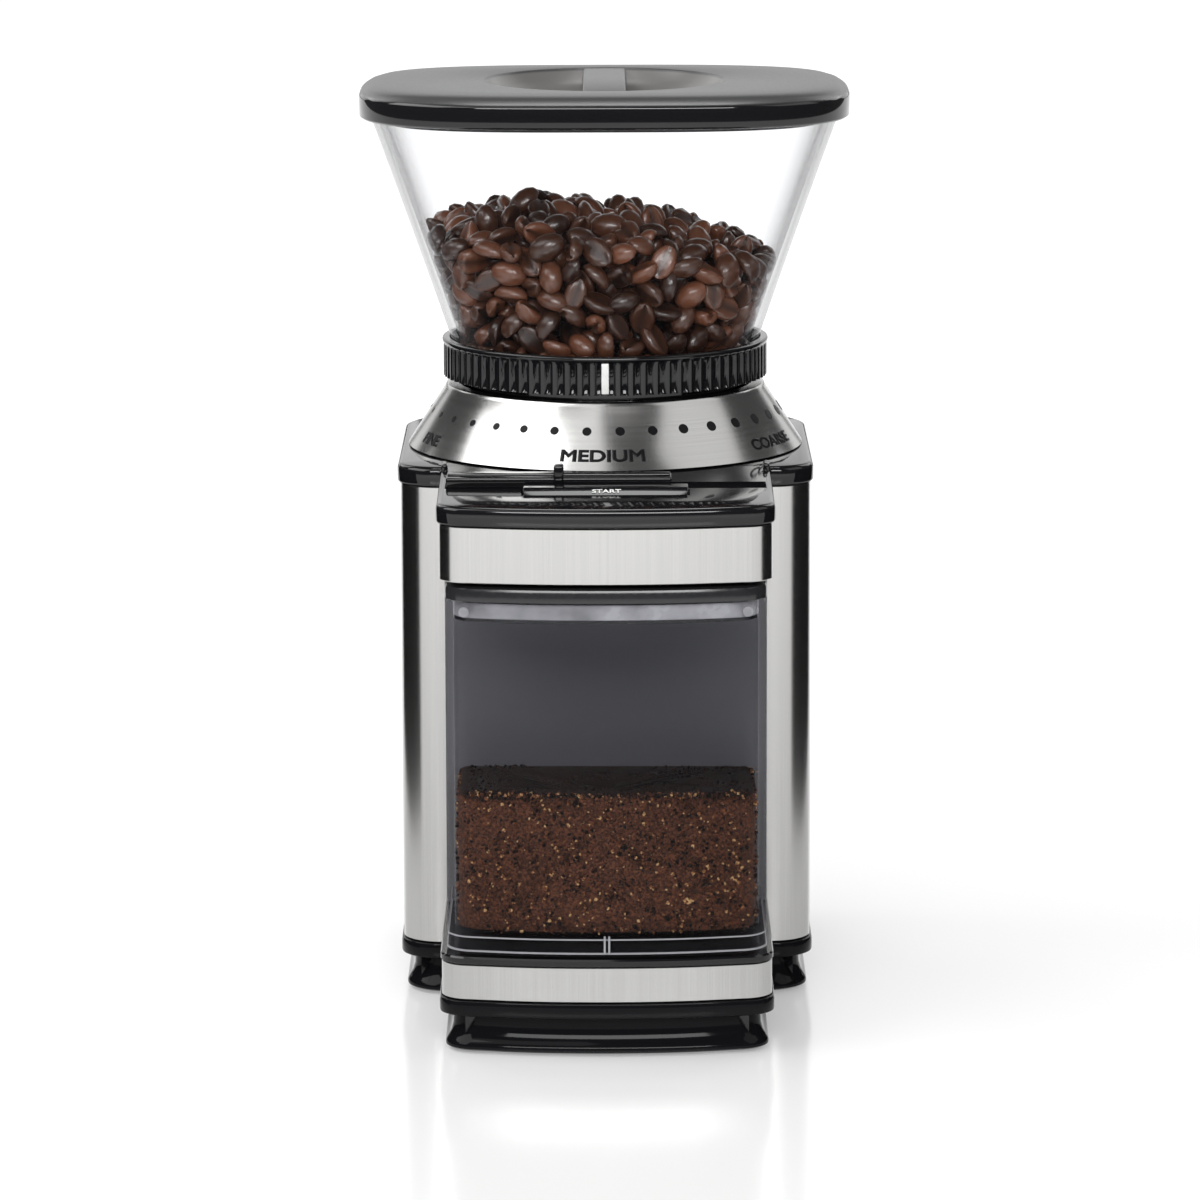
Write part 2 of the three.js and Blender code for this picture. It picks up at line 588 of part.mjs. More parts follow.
// ---- motor and burrs ----
function makeMotor() {
  const can = cut(
    rod(MOTOR_RADIUS, MOTOR_BOTTOM_Z, MOTOR_TOP_Z, 0, BURR_Y, 40),
    rod(MOTOR_RADIUS - MOTOR_WALL, MOTOR_BOTTOM_Z + 3, MOTOR_TOP_Z - 3, 0, BURR_Y, 32),
    rod(12, MOTOR_BOTTOM_Z - 1, MOTOR_TOP_Z + 1),
  );
  place('motor_can', can, castMetal);
  const rotorRadius = MOTOR_RADIUS - MOTOR_WALL - 0.6;
  const bore = SHAFT_RADIUS + GAP;
  place('motor_rotor', tube(rotorRadius, bore, MOTOR_BOTTOM_Z + 8, MOTOR_TOP_Z - 8, 32), copper);
  place('motor_shaft', rod(SHAFT_RADIUS, SHAFT_BOTTOM_Z, SHAFT_TOP_Z, 0, BURR_Y, 20), burrSteel);
  placeBearing('lower_bearing', LOWER_BEARING_Z);
  placeBearing('upper_bearing', MOTOR_TOP_Z + 1);
}

function placeBearing(name, bottom) {
  place(name, tube(BEARING_RADIUS, SHAFT_RADIUS + 0.4, bottom, bottom + BEARING_HEIGHT, 24), burrSteel);
}

function makeCoolingFan() {
  const discZ = FAN_Z + FAN_HEIGHT;
  const reach = FAN_RADIUS - 1;
  const hub = join(
    rod(FAN_RADIUS, discZ, discZ + 2, 0, BURR_Y, 32),
    rod(8, FAN_Z, discZ + 1, 0, BURR_Y, 20),
    block(-reach, BURR_Y - 1, FAN_Z, reach, BURR_Y + 1, discZ),
    block(-1, BURR_Y - reach, FAN_Z, 1, BURR_Y + reach, discZ),
  );
  place('cooling_fan', cut(hub, rod(SHAFT_RADIUS + GAP, 0, discZ + 5, 0, BURR_Y, 20)), satinBlack);
}

function makeMotorMount() {
  const plan = roundedOutline([[-56, -12, 6], [56, -12, 6], [54, 84, 18], [-54, 84, 18]]);
  const mount = cut(
    slab(plan, MOTOR_TOP_Z + GAP, MOUNT_TOP_Z),
    rod(BEARING_RADIUS + 0.5, MOTOR_TOP_Z - 1, MOUNT_TOP_Z + 1),
  );
  place('motor_mount', mount, castMetal);
}

function makeBurrHousing() {
  const bottom = MOUNT_TOP_Z + GAP;
  const x = CHUTE_HALF_WIDTH;
  const inside = x - WALL;
  const mouth = CHUTE_MOUTH_Y;
  const housing = cut(
    join(
      rod(CUP_RADIUS, bottom, DECK_BOTTOM_Z - 1, 0, BURR_Y, 48),
      block(-x, mouth, CHUTE_BOTTOM_Z, x, BURR_Y, CHUTE_TOP_Z),
    ),
    rod(CUP_BORE_RADIUS, IMPELLER_Z - 3, DECK_TOP_Z, 0, BURR_Y, 48),
    rod(SHAFT_RADIUS + 1, bottom - 1, IMPELLER_Z, 0, BURR_Y, 20),
    rod(CUP_RADIUS - 8, bottom - 1, IMPELLER_Z - 6, 0, BURR_Y, 32),
    block(-inside, mouth + WALL, CHUTE_BOTTOM_Z + WALL, inside, BURR_Y, CHUTE_TOP_Z - WALL),
    block(-inside, mouth + WALL, CHUTE_BOTTOM_Z - 2, inside, mouth + CHUTE_OUTLET, CHUTE_BOTTOM_Z + 5),
  );
  place('burr_housing', housing, satinBlack);
}

// The lower burr turns with the impeller, and the upper one hangs in the carrier above it.
function makeBurrs() {
  const bore = rod(SHAFT_RADIUS + GAP, IMPELLER_Z - 10, SHAFT_TOP_Z + 10, 0, BURR_Y, 20);
  const impeller = join(
    rod(IMPELLER_RADIUS, IMPELLER_Z, IMPELLER_Z + 3, 0, BURR_Y, 40),
    rod(9, IMPELLER_Z - 2, IMPELLER_Z + 8),
    paddle(-PADDLE_TIP, -IMPELLER_RADIUS + 2),
    paddle(IMPELLER_RADIUS - 2, PADDLE_TIP),
  );
  place('impeller', cut(impeller, bore), castMetal);
  const lowerZ = IMPELLER_Z + 3 + GAP;
  const upperZ = lowerZ + BURR_HEIGHT + BURR_GAP;
  place('lower_burr', burrRing(lowerZ), burrSteel);
  place('upper_burr', burrRing(upperZ), burrSteel);
  makeBurrCarrier(upperZ + BURR_HEIGHT + GAP);
}

function paddle(x0, x1) {
  return block(x0, BURR_Y - 1.5, IMPELLER_Z, x1, BURR_Y + 1.5, IMPELLER_Z + PADDLE_HEIGHT);
}

function burrRing(bottom) {
  return tube(BURR_RADIUS, BURR_RADIUS - BURR_WIDTH, bottom, bottom + BURR_HEIGHT, 40);
}

// Threaded carrier with its wire handle, and the ring that turns it.
function makeBurrCarrier(bottom) {
  const inner = BURR_RADIUS - BURR_WIDTH;
  const rim = CARRIER_RADIUS - 3;
  place('burr_carrier', turned([
    [inner, bottom], [CARRIER_RADIUS, bottom], [CARRIER_RADIUS, CARRIER_TOP_Z], [rim, CARRIER_TOP_Z],
    [SPOUT_BORE_RADIUS, CARRIER_TOP_Z - 4.5], [inner, CARRIER_TOP_Z - 7],
  ], 40), satinBlack);
  const path = new THREE.CatmullRomCurve3([
    new THREE.Vector3(-28.4, BURR_Y, CARRIER_TOP_Z + 1), new THREE.Vector3(-26, BURR_Y, CARRIER_TOP_Z + 3.4),
    new THREE.Vector3(0, BURR_Y, CARRIER_TOP_Z + 5.6), new THREE.Vector3(26, BURR_Y, CARRIER_TOP_Z + 3.4),
    new THREE.Vector3(28.4, BURR_Y, CARRIER_TOP_Z + 1),
  ]);
  const wire = new THREE.Shape().absarc(0, 0, 1, 0, 2 * Math.PI);
  const bail = new THREE.ExtrudeGeometry(wire, { steps: 16, extrudePath: path, curveSegments: 5 });
  place('carrier_bail', bail, steel);
  const ringInner = CARRIER_RADIUS + 1;
  const ringMiddle = (RING_BOTTOM_Z + RING_TOP_Z) / 2;
  place('adjust_ring', turned([
    [ringInner, RING_BOTTOM_Z], [38, RING_BOTTOM_Z], [38, ringMiddle],
    [43, ringMiddle], [43, RING_TOP_Z], [ringInner, RING_TOP_Z],
  ]), satinBlack);
}

function makeSwitches() {
  const hopperSwitch = block(44.6, BURR_Y - 4, RING_BOTTOM_Z - 0.5, 49.6, BURR_Y + 4, RING_TOP_Z - 1);
  place('hopper_switch', hopperSwitch, satinBlack);
  const chamberSwitch = block(26, BODY_FRONT_Y - 5.3, HEAD_FLOOR_Z + 2.7, 34, BODY_FRONT_Y - 0.5, 150);
  place('chamber_switch', chamberSwitch, satinBlack);
}

makeBase();
makeBasePlate();
makeBaseScrews();
makeFeet();
makePlatform();
makeBody();
makeCordGland();
makeHead();
makeTopCover();
makeAmountSlider();
makeStartButton();
makeDialRing();
makeCollar();
makeHopper();
makeLid();
makeChamber();
makeMotor();
makeCoolingFan();
makeMotorMount();
makeBurrHousing();
makeBurrs();
makeSwitches();

export default group;
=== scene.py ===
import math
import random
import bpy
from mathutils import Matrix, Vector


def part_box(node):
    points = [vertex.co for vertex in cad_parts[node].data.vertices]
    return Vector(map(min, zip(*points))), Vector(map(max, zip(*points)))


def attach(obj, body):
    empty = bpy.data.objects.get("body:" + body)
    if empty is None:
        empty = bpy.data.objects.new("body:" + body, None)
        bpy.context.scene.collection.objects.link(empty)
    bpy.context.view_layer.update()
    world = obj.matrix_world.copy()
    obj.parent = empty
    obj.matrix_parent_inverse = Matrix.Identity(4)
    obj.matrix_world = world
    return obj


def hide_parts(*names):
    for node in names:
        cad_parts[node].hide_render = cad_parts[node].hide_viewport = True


bl_info = {
    "name": "Burr Coffee Grinder",
    "version": (1, 0, 0),
    "blender": (4, 5, 0),
    "location": "View3D > Sidebar > Grinder",
    "description": "Finishes the packed grinder: casings, dial, hopper, chamber, coffee and studio",
    "category": "Object",
}

import bmesh
import bpy
import numpy as np
from bpy.props import FloatProperty, FloatVectorProperty, IntProperty, PointerProperty
from mathutils import Matrix, Quaternion, Vector, noise

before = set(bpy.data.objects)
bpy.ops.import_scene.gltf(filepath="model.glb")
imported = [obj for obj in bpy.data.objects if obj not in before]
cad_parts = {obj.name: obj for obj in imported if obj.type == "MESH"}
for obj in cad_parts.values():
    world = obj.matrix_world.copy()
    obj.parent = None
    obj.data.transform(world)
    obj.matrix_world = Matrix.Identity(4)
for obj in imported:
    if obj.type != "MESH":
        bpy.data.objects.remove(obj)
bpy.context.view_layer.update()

# ---- places taken from the frame ----
MM = 0.001
UP = Vector((0, 0, 1))
SHELL_LOW, SHELL_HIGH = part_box("steel_shell")
PANEL_LOW, PANEL_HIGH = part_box("head_panel")
BAND_LOW, BAND_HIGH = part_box("front_band")
DECK_LOW, DECK_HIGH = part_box("top_cover")
BASE_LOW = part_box("base")[0]
TRAY_LOW, TRAY_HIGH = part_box("platform_tray")
DIAL_LOW, DIAL_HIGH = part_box("dial_ring")
COLLAR_LOW, COLLAR_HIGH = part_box("hopper_collar")
POINTER_LOW, POINTER_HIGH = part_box("hopper_pointer")
HOPPER_LOW, HOPPER_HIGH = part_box("hopper")
LID_LOW, LID_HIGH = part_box("hopper_lid")
CHAMBER_LOW, CHAMBER_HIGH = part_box("chamber")
COVER_LOW, COVER_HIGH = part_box("chamber_lid")
SLIDER_LOW, SLIDER_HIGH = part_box("amount_slider")
BUTTON_LOW, BUTTON_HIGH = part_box("start_button")

BURR_Y = (DIAL_LOW.y + DIAL_HIGH.y) / 2
AXIS = Vector((0, BURR_Y, 0))
HEAD_HALF = PANEL_HIGH.x
BODY_HALF = SHELL_HIGH.x
BODY_FRONT = SHELL_LOW.y
BODY_BACK = SHELL_HIGH.y
HEAD_FRONT = PANEL_LOW.y
BOW = 6.1 * MM                      # the bowed front's corners stand this far back from its middle
BOW_PEAK = 2.9 * MM                 # and the point that the bow is rounded from, this far ahead of it
# roundings of the plan's corners, each with its number of segments
FRONT_CORNER = (7 * MM, 8)
BOW_ROUND = (30 * MM, 16)
WING = (12 * MM, 14)
REAR_CORNER = (25 * MM, 14)
CHAMBER_REAR = (3 * MM, 5)
NOTCH = (0.4 * MM, 2)
SQUARE = (0, 1)
BUTTON_FLANGE = 1.6 * MM            # how far the button's hidden flange stands out
DECK_TOP = DECK_HIGH.z
LIP_DARK_TOP = CHAMBER_HIGH.z - 4.8 * MM
LIP_TOP = BAND_LOW.z - 0.3 * MM
LIP_BOTTOM = LIP_TOP - 4.7 * MM
DOTS = 18                           # round the dial, from fine to coarse
DOT_STEP = 10.65                    # degrees from dot to dot
CONE_FOOT = DIAL_HIGH.x
CONE_NECK = 48.75 * MM              # radius just under the dial's rolled top
CONE_START = 0.25 * MM              # height where the cone's straight side starts
CONE_SLOPE = math.atan2(CONE_FOOT - CONE_NECK, DIAL_HIGH.z - 1.3 * MM - DIAL_LOW.z - CONE_START)
STEM_Y = (SLIDER_LOW.y + SLIDER_HIGH.y) / 2
HOPPER_FOOT = 47 * MM
HOPPER_WALL = 2.6 * MM
WALL_START = COLLAR_HIGH.z


# ---- small mesh tools ----
def link(piece):
    """Puts an object in the scene."""
    bpy.context.scene.collection.objects.link(piece)


def as_mesh(bm, name):
    """Turns a bmesh into a mesh and frees it."""
    mesh = bpy.data.meshes.new(name)
    bm.to_mesh(mesh)
    bm.free()
    return mesh


def add_piece(bm, name, body, material, replaces=(), sharp=35):
    """Makes the bmesh a finished object that rides on a body."""
    bmesh.ops.remove_doubles(bm, verts=bm.verts, dist=1e-6)
    bmesh.ops.recalc_face_normals(bm, faces=bm.faces)
    return add_mesh(as_mesh(bm, name), name, body, material, replaces, sharp)


def add_mesh(mesh, name, body, material, replaces=(), sharp=35):
    """Makes an object of a finished mesh."""
    mesh.shade_smooth()
    mesh.set_sharp_from_angle(angle=math.radians(sharp))
    mesh.materials.append(material)
    piece = bpy.data.objects.new(name, mesh)
    link(piece)
    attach(piece, body)
    if replaces:
        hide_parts(*replaces)
    return piece


def absorb(bm, other):
    """Adds another bmesh's shape to bm."""
    bmesh.ops.recalc_face_normals(other, faces=other.faces)
    mesh = as_mesh(other, "part")
    bm.from_mesh(mesh)
    bpy.data.meshes.remove(mesh)


def carve(bm, *cutters):
    """Cuts the cutters out of bm and returns the result as a mesh."""
    work = [solid_object(shape) for shape in (bm, *cutters)]
    for cutter in work[1:]:
        modifier = work[0].modifiers.new("cut", "BOOLEAN")
        modifier.operation = "DIFFERENCE"
        modifier.solver = "EXACT"
        modifier.object = cutter
    depsgraph = bpy.context.evaluated_depsgraph_get()
    result = bpy.data.meshes.new_from_object(work[0].evaluated_get(depsgraph))
    for piece in work:
        mesh = piece.data
        bpy.data.objects.remove(piece)
        bpy.data.meshes.remove(mesh)
    return result


def solid_object(bm):
    """Makes a bare object for a boolean cut."""
    bmesh.ops.recalc_face_normals(bm, faces=bm.faces)
    piece = bpy.data.objects.new("solid", as_mesh(bm, "solid"))
    link(piece)
    return piece


def bevel_edges(bm, edges, width, segments=3):
    """Rounds the given edges."""
    bmesh.ops.bevel(
        bm, geom=edges, offset=width, offset_type="OFFSET", segments=segments,
        profile=0.5, affect="EDGES", material=-1, clamp_overlap=True,
    )


def box(low, high, bevel=0.0, segments=2):
    """A block between two corners with rounded edges."""
    low, high = Vector(low), Vector(high)
    bm = bmesh.new()
    place = Matrix.Translation((low + high) / 2) @ Matrix.Diagonal((*(high - low), 1))
    bmesh.ops.create_cube(bm, size=1, matrix=place)
    if bevel:
        bevel_edges(bm, bm.edges[:], bevel, segments)
    return bm


def turned(profile, steps=96, closed=False):
    """Spins (radius, z) points round the burr axis."""
    bm = bmesh.new()
    points = [bm.verts.new((radius, BURR_Y, z)) for radius, z in profile]
    pairs = list(zip(points, points[1:]))
    if closed:
        pairs.append((points[-1], points[0]))
    edges = [bm.edges.new(pair) for pair in pairs]
    bmesh.ops.spin(
        bm, geom=points + edges, cent=AXIS, axis=UP, angle=2 * math.pi, steps=steps, use_merge=True,
    )
    bmesh.ops.remove_doubles(bm, verts=bm.verts, dist=1e-7)
    bmesh.ops.recalc_face_normals(bm, faces=bm.faces)
    return bm


def outline_loop(bm, corners, z):
    """A flat loop through corners (x, y, rounding, segments); returns its edges."""
    face = bm.faces.new([bm.verts.new((x, y, z)) for x, y, _, _ in corners])
    for vert, (_, _, rounding, segments) in zip(face.verts[:], corners):
        if rounding:
            bmesh.ops.bevel(
                bm, geom=[vert], offset=rounding, offset_type="OFFSET", segments=segments,
                profile=0.5, affect="VERTICES", material=-1,
            )
    bm.faces.ensure_lookup_table()
    flat = bm.faces[-1]
    edges = flat.edges[:]
    bmesh.ops.delete(bm, geom=[flat], context="FACES_ONLY")
    return edges


def outline_loft(plan, levels, cap_start=True, cap_end=True):
    """Walls through outlines: levels are (grow, z) and plan(grow) gives the corners."""
    bm = bmesh.new()
    loops = [outline_loop(bm, plan(grow), z) for grow, z in levels]
    for lower, upper in zip(loops, loops[1:]):
        bmesh.ops.bridge_loops(bm, edges=lower + upper)
    if cap_start:
        bmesh.ops.contextual_create(bm, geom=loops[0])
    if cap_end:
        bmesh.ops.contextual_create(bm, geom=loops[-1])
    bmesh.ops.recalc_face_normals(bm, faces=bm.faces)
    return bm


def ring_loft(rings, count=160, cap_start=True, cap_end=True):
    """Walls through rings round the burr axis: each ring is (z, radius at an angle)."""
    bm = bmesh.new()
    verts = bmesh.ops.create_circle(bm, cap_ends=False, segments=count, radius=1)["verts"]
    bmesh.ops.translate(bm, verts=verts, vec=AXIS)
    edges = bm.edges[:]
    first = edges
    for step, (z, radius_at) in enumerate(rings):
        if step:
            made = bmesh.ops.extrude_edge_only(bm, edges=edges)["geom"]
            verts = [item for item in made if isinstance(item, bmesh.types.BMVert)]
            fresh = set(verts)
            made_edges = [item for item in made if isinstance(item, bmesh.types.BMEdge)]
            edges = [edge for edge in made_edges if fresh.issuperset(edge.verts)]
        for vert in verts:
            angle = math.atan2(vert.co.y - BURR_Y, vert.co.x)
            radius = radius_at(angle)
            vert.co = (radius * math.cos(angle), BURR_Y + radius * math.sin(angle), z)
    if cap_start:
        bmesh.ops.contextual_create(bm, geom=first)
    if cap_end:
        bmesh.ops.contextual_create(bm, geom=edges)
    bmesh.ops.recalc_face_normals(bm, faces=bm.faces)
    return bm


def superellipse(half_x, half_y, power=3.3):
    """Radius of a rounded rectangle as a function of the angle."""
    def radius_at(angle):
        x = abs(math.cos(angle)) / half_x
        y = abs(math.sin(angle)) / half_y
        return (x ** power + y ** power) ** (-1 / power)
    return radius_at


# ---- plan outlines, grown or shrunk all round ----
def bowed_front(x, front, grow):
    """Both front corners at half width x, and the point that the bow between them is rounded from."""
    corner = front + BOW - grow
    return [(-x, corner, *FRONT_CORNER), (0, front - BOW_PEAK - grow, *BOW_ROUND), (x, corner, *FRONT_CORNER)]


def head_plan(grow=0.0, back=None):
    x = HEAD_HALF + grow
    back = BODY_FRONT + 1 * MM if back is None else back
    return bowed_front(x, HEAD_FRONT, grow) + [(x, back, *SQUARE), (-x, back, *SQUARE)]


def body_plan(grow=0.0):
    x = BODY_HALF + grow
    front = BODY_FRONT - grow
    back = BODY_BACK + grow
    return [
        (-x, front, *WING), (-HEAD_HALF, front, *SQUARE), (HEAD_HALF, front, *SQUARE), (x, front, *WING),
        (x, back, *REAR_CORNER), (-x, back, *REAR_CORNER),
    ]


def full_plan(grow=0.0):
    x = BODY_HALF + grow
    head_x = HEAD_HALF + grow
    front = BODY_FRONT - grow
    back = BODY_BACK + grow
    return bowed_front(head_x, HEAD_FRONT, grow) + [
        (head_x, front, *NOTCH), (x, front, *WING), (x, back, *REAR_CORNER),
        (-x, back, *REAR_CORNER), (-x, front, *WING), (-head_x, front, *NOTCH),
    ]


def chamber_plan(grow=0.0):
    x = CHAMBER_HIGH.x + grow
    back = CHAMBER_HIGH.y + grow
    return bowed_front(x, CHAMBER_LOW.y, grow) + [(x, back, *CHAMBER_REAR), (-x, back, *CHAMBER_REAR)]


# ---- materials ----
class Value:
    """A node socket that takes part in arithmetic."""

    def __init__(self, finish, socket):
        self.finish = finish
        self.socket = socket

    def _combine(self, operation, first, second):
        node = self.finish.node("Math", {"operation": operation}, {0: first, 1: second})
        return Value(self.finish, node.outputs[0])

    def __add__(self, other):
        return self._combine("ADD", self, other)

    __radd__ = __add__

    def __sub__(self, other):
        return self._combine("SUBTRACT", self, other)

    def __rsub__(self, other):
        return self._combine("SUBTRACT", other, self)

    def __mul__(self, other):
        return self._combine("MULTIPLY", self, other)

    __rmul__ = __mul__

    def __truediv__(self, other):
        return self._combine("DIVIDE", self, other)

    def clamped(self, low, high):
        """This value scaled so that low becomes 0 and high becomes 1, and held there."""
        limits = {"Value": self, "From Min": low, "From Max": high}
        node = self.finish.node("MapRange", {"clamp": True}, limits)
        return Value(self.finish, node.outputs["Result"])


class Finish:
    """A material under construction, with its Principled shader."""

    def __init__(self, name, **sockets):
        self.material = bpy.data.materials.new(name)
        self.material.use_nodes = True
        self.tree = self.material.node_tree
        self.shader = self.tree.nodes["Principled BSDF"]
        self.output = self.tree.nodes["Material Output"]
        for key, value in sockets.items():
            self.shader.inputs[key.replace("_", " ")].default_value = value

    def node(self, kind, settings=None, inputs=None):
        """Adds a node: settings first, then the values or links of its sockets."""
        made = self.tree.nodes.new("ShaderNode" + kind)
        for key, value in (settings or {}).items():
            if key == "stops":
                for _ in range(len(value) - len(made.color_ramp.elements)):
                    made.color_ramp.elements.new(0.5)
                for element, (position, colour) in zip(made.color_ramp.elements, value):
                    element.position = position
                    element.color = (*colour, 1)
            else:
                setattr(made, key, value)
        for key, value in (inputs or {}).items():
            self.feed(made.inputs[key], value)
        return made

    def feed(self, socket, value):
        if isinstance(value, Value):
            self.tree.links.new(value.socket, socket)
        elif isinstance(value, bpy.types.NodeSocket):
            self.tree.links.new(value, socket)
        else:
            socket.default_value = value

    def set(self, name, value):
        self.feed(self.shader.inputs[name], value)

    def place(self, stretch=(1, 1, 1), centre=(0, 0, 0)):
        """Object coordinates, centred and stretched."""
        texture = self.node("TexCoord")
        mapping = self.node(
            "Mapping", {}, {"Vector": texture.outputs["Object"], "Location": centre, "Scale": stretch},
        )
        return mapping.outputs["Vector"]

    def noise(self, scale, detail=3.0, stretch=(1, 1, 1), vector=None):
        vector = self.place(stretch) if vector is None else vector
        node = self.node("TexNoise", {}, {"Vector": vector, "Scale": scale, "Detail": detail})
        return Value(self, node.outputs["Fac"])

    def ramp(self, factor, *stops):
        node = self.node("ValToRGB", {"stops": stops}, {"Fac": factor})
        return node.outputs["Color"]

    def blend(self, factor, first, second):
        node = self.node("Mix", {"data_type": "RGBA"}, {0: factor, 6: first, 7: second})
        return node.outputs[2]

    def attribute(self, name):
        node = self.node("Attribute", {"attribute_name": name})
        return Value(self, node.outputs["Fac"])

    def bump(self, height, distance, strength=1.0):
        node = self.node("Bump", {}, {"Height": height, "Distance": distance, "Strength": strength})
        self.set("Normal", node.outputs["Normal"])


def colour(value):
    return (*value[:3], 1)


def gloss_black(name, gloss):
    """Polished moulded black; gloss is how strongly it mirrors."""
    tint = bpy.context.scene.grinder_colours.gloss_black
    finish = Finish(name, Base_Color=colour(tint), Specular_IOR_Level=gloss)
    finish.set("Roughness", finish.noise(60, 4) * 0.06 + 0.04)
    finish.bump(finish.noise(35, 2), 0.00006, 0.2)
    return finish.material


def lid_black():
    """Black lid: a satin top, and a finger bowl painted lighter grey as painted light from overhead, over a
    polished rim.
    """
    tint = bpy.context.scene.grinder_colours.gloss_black
    finish = Finish("satin_topped_black_plastic", Specular_IOR_Level=0.6)
    centred = finish.place(centre=(0, -BURR_Y, 0))
    split = finish.node("SeparateXYZ", {}, {"Vector": centred})
    x, y = Value(finish, split.outputs["X"]), Value(finish, split.outputs["Y"])
    high = Value(finish, split.outputs["Z"]).clamped(LID_HIGH.z - 3.0 * MM, LID_HIGH.z - 2.2 * MM)
    near = (x * x + y * y).clamped((42 * MM) ** 2, (40 * MM) ** 2)
    satin = (high + near).clamped(0, 1)
    bowl_painted_light = Value(finish, split.outputs["Z"]).clamped(LID_HIGH.z - 0.4 * MM, LID_HIGH.z - 0.9 * MM)
    texture = finish.noise(1500, 3)
    # painted light: the finger bowl gets a lighter grey than the top, standing in for overhead light on the
    # same black plastic
    top = finish.blend(bowl_painted_light * near, (0.05, 0.05, 0.051, 1), (0.13, 0.127, 0.122, 1))
    finish.set("Base Color", finish.blend(satin, colour(tint), top))
    finish.set("Roughness", satin * (texture * 0.1 + 0.22) + 0.05)
    finish.bump(texture * satin, 0.00002, 0.4)
    return finish.material


def satin_black():
    tint = bpy.context.scene.grinder_colours.satin_black
    finish = Finish("satin_black_plastic", Base_Color=colour(tint), Roughness=0.42)
    grain = finish.noise(2600, 2)
    finish.set("Roughness", grain * 0.2 + 0.34)
    finish.bump(grain, 0.00003, 0.6)
    return finish.material


def wall_grey():
    tint = bpy.context.scene.grinder_colours.wall_grey
    finish = Finish("wall_grey_plastic", Roughness=0.4)
    grain = finish.noise(1800, 3)
    finish.set("Base Color", finish.blend(finish.noise(14, 3), colour(tint), colour(tint * 1.15)))
    finish.set("Roughness", grain * 0.12 + 0.3)
    finish.bump(grain, 0.000008, 0.4)
    return finish.material


def brushed(name, vector_of, tone=1.0):
    """Brushed steel: streaks far longer than wide along the grain."""
    tint = Vector(bpy.context.scene.grinder_colours.steel) * tone
    finish = Finish(name, Metallic=1.0)
    fine = finish.noise(1.0, 4, vector=vector_of(finish, 3200))
    coarse = finish.noise(1.0, 3, vector=vector_of(finish, 500))
    streak = fine * 0.75 + coarse * 0.25
    finish.set("Base Color", finish.blend(streak.clamped(0.3, 0.7), colour(tint * 0.93), colour(tint * 1.05)))
    finish.set("Roughness", streak * 0.1 + 0.15)
    finish.bump(streak, 0.000007, 0.4)
    return finish.material


def upright_grain(finish, fineness):
    return finish.place((fineness, fineness, 9))


def round_grain(finish, fineness):
    """Grain that runs round the burr axis, with its seam at the back."""
    texture = finish.node("TexCoord")
    split = finish.node("SeparateXYZ", {}, {"Vector": texture.outputs["Object"]})
    x = Value(finish, split.outputs["X"])
    y = Value(finish, split.outputs["Y"]) - BURR_Y
    z = Value(finish, split.outputs["Z"])
    turn = Value(finish, finish.node("Math", {"operation": "ARCTAN2"}, {0: x, 1: 0 - y}).outputs[0])
    reach = Value(finish, finish.node("Math", {"operation": "SQRT"}, {0: x * x + y * y}).outputs[0])
    joined = finish.node(
        "CombineXYZ", {}, {"X": turn * 0.6, "Y": reach * fineness, "Z": z * fineness},
    )
    return joined.outputs["Vector"]


def flat_grain(finish, fineness):
    return finish.place((9, fineness, fineness))


def clear(name, tint, edge, haze, slanted):
    """Clear plastic: see-through, paler at a slant, with a mirror-like skin."""
    finish = Finish(name, Base_Color=colour(edge), Metallic=0.5)
    finish.set("Roughness", finish.noise(40, 3) * 0.04 + 0.03)
    through = finish.node("BsdfTransparent", {}, {"Color": colour(tint)})
    slant = finish.node("LayerWeight", {}, {"Blend": 0.5})
    facing = Value(finish, slant.outputs["Facing"])
    share = facing * facing * facing * facing * slanted + haze
    mixed = finish.node(
        "MixShader", {}, {0: share.clamped(0, 1), 1: through.outputs[0], 2: finish.shader.outputs[0]},
    )
    finish.tree.links.new(mixed.outputs[0], finish.output.inputs["Surface"])
    return finish.material


def frosted():
    """Pale frosted lip of the chamber's cover, with a dark lower edge."""
    finish = Finish("frosted_lip", Specular_IOR_Level=0.5)
    split = finish.node("SeparateXYZ", {}, {"Vector": finish.place()})
    pale = Value(finish, split.outputs["Z"]).clamped(LIP_DARK_TOP, LIP_DARK_TOP + 0.2 * MM)
    cloud = finish.noise(90, 3)
    light = finish.blend(cloud.clamped(0.35, 0.65), (0.22, 0.22, 0.23, 1), (0.42, 0.42, 0.44, 1))
    finish.set("Base Color", finish.blend(pale, (0.01, 0.01, 0.012, 1), light))
    finish.set("Roughness", cloud * 0.2 + 0.15)
    return finish.material


def plain(name, tint, roughness, metallic=0.0, grain=900, depth=0.00003, **sockets):
    """A finish with fine grain in its colour, roughness and surface."""
    finish = Finish(name, Metallic=metallic, **sockets)
    speckle = finish.noise(grain, 3)
    light = colour(Vector(tint) * 1.15)
    finish.set("Base Color", finish.blend(speckle, colour(Vector(tint) * 0.85), light))
    finish.set("Roughness", speckle * 0.16 + (roughness - 0.08))
    finish.bump(speckle, depth, 0.5)
    return finish.material


def bean_brown():
    """Roasted coffee: every bean has its own tone and an oily shine, and its crease is painted darker as
    painted shade in the groove.
    """
    tint = Vector(bpy.context.scene.grinder_colours.bean)
    finish = Finish("roasted_bean", Specular_IOR_Level=0.5, Coat_Weight=0.35, Coat_Roughness=0.2)
    tone = finish.attribute("tone")
    crease = finish.attribute("crease")
    skin = finish.noise(500, 4)
    body = finish.ramp(
        tone * 0.75 + skin * 0.3,
        (0.15, tuple(tint * 0.3)), (0.55, tuple(tint)), (1.0, tuple(tint * 2.4)),
    )
    # painted shade: the crease's vertices are blended to near black, standing in for the shade in the groove
    finish.set("Base Color", finish.blend(crease * 0.8, body, (0.012, 0.005, 0.003, 1)))
    finish.set("Roughness", skin * 0.2 + 0.22)
    finish.bump(skin, 0.0002, 0.5)
    return finish.material


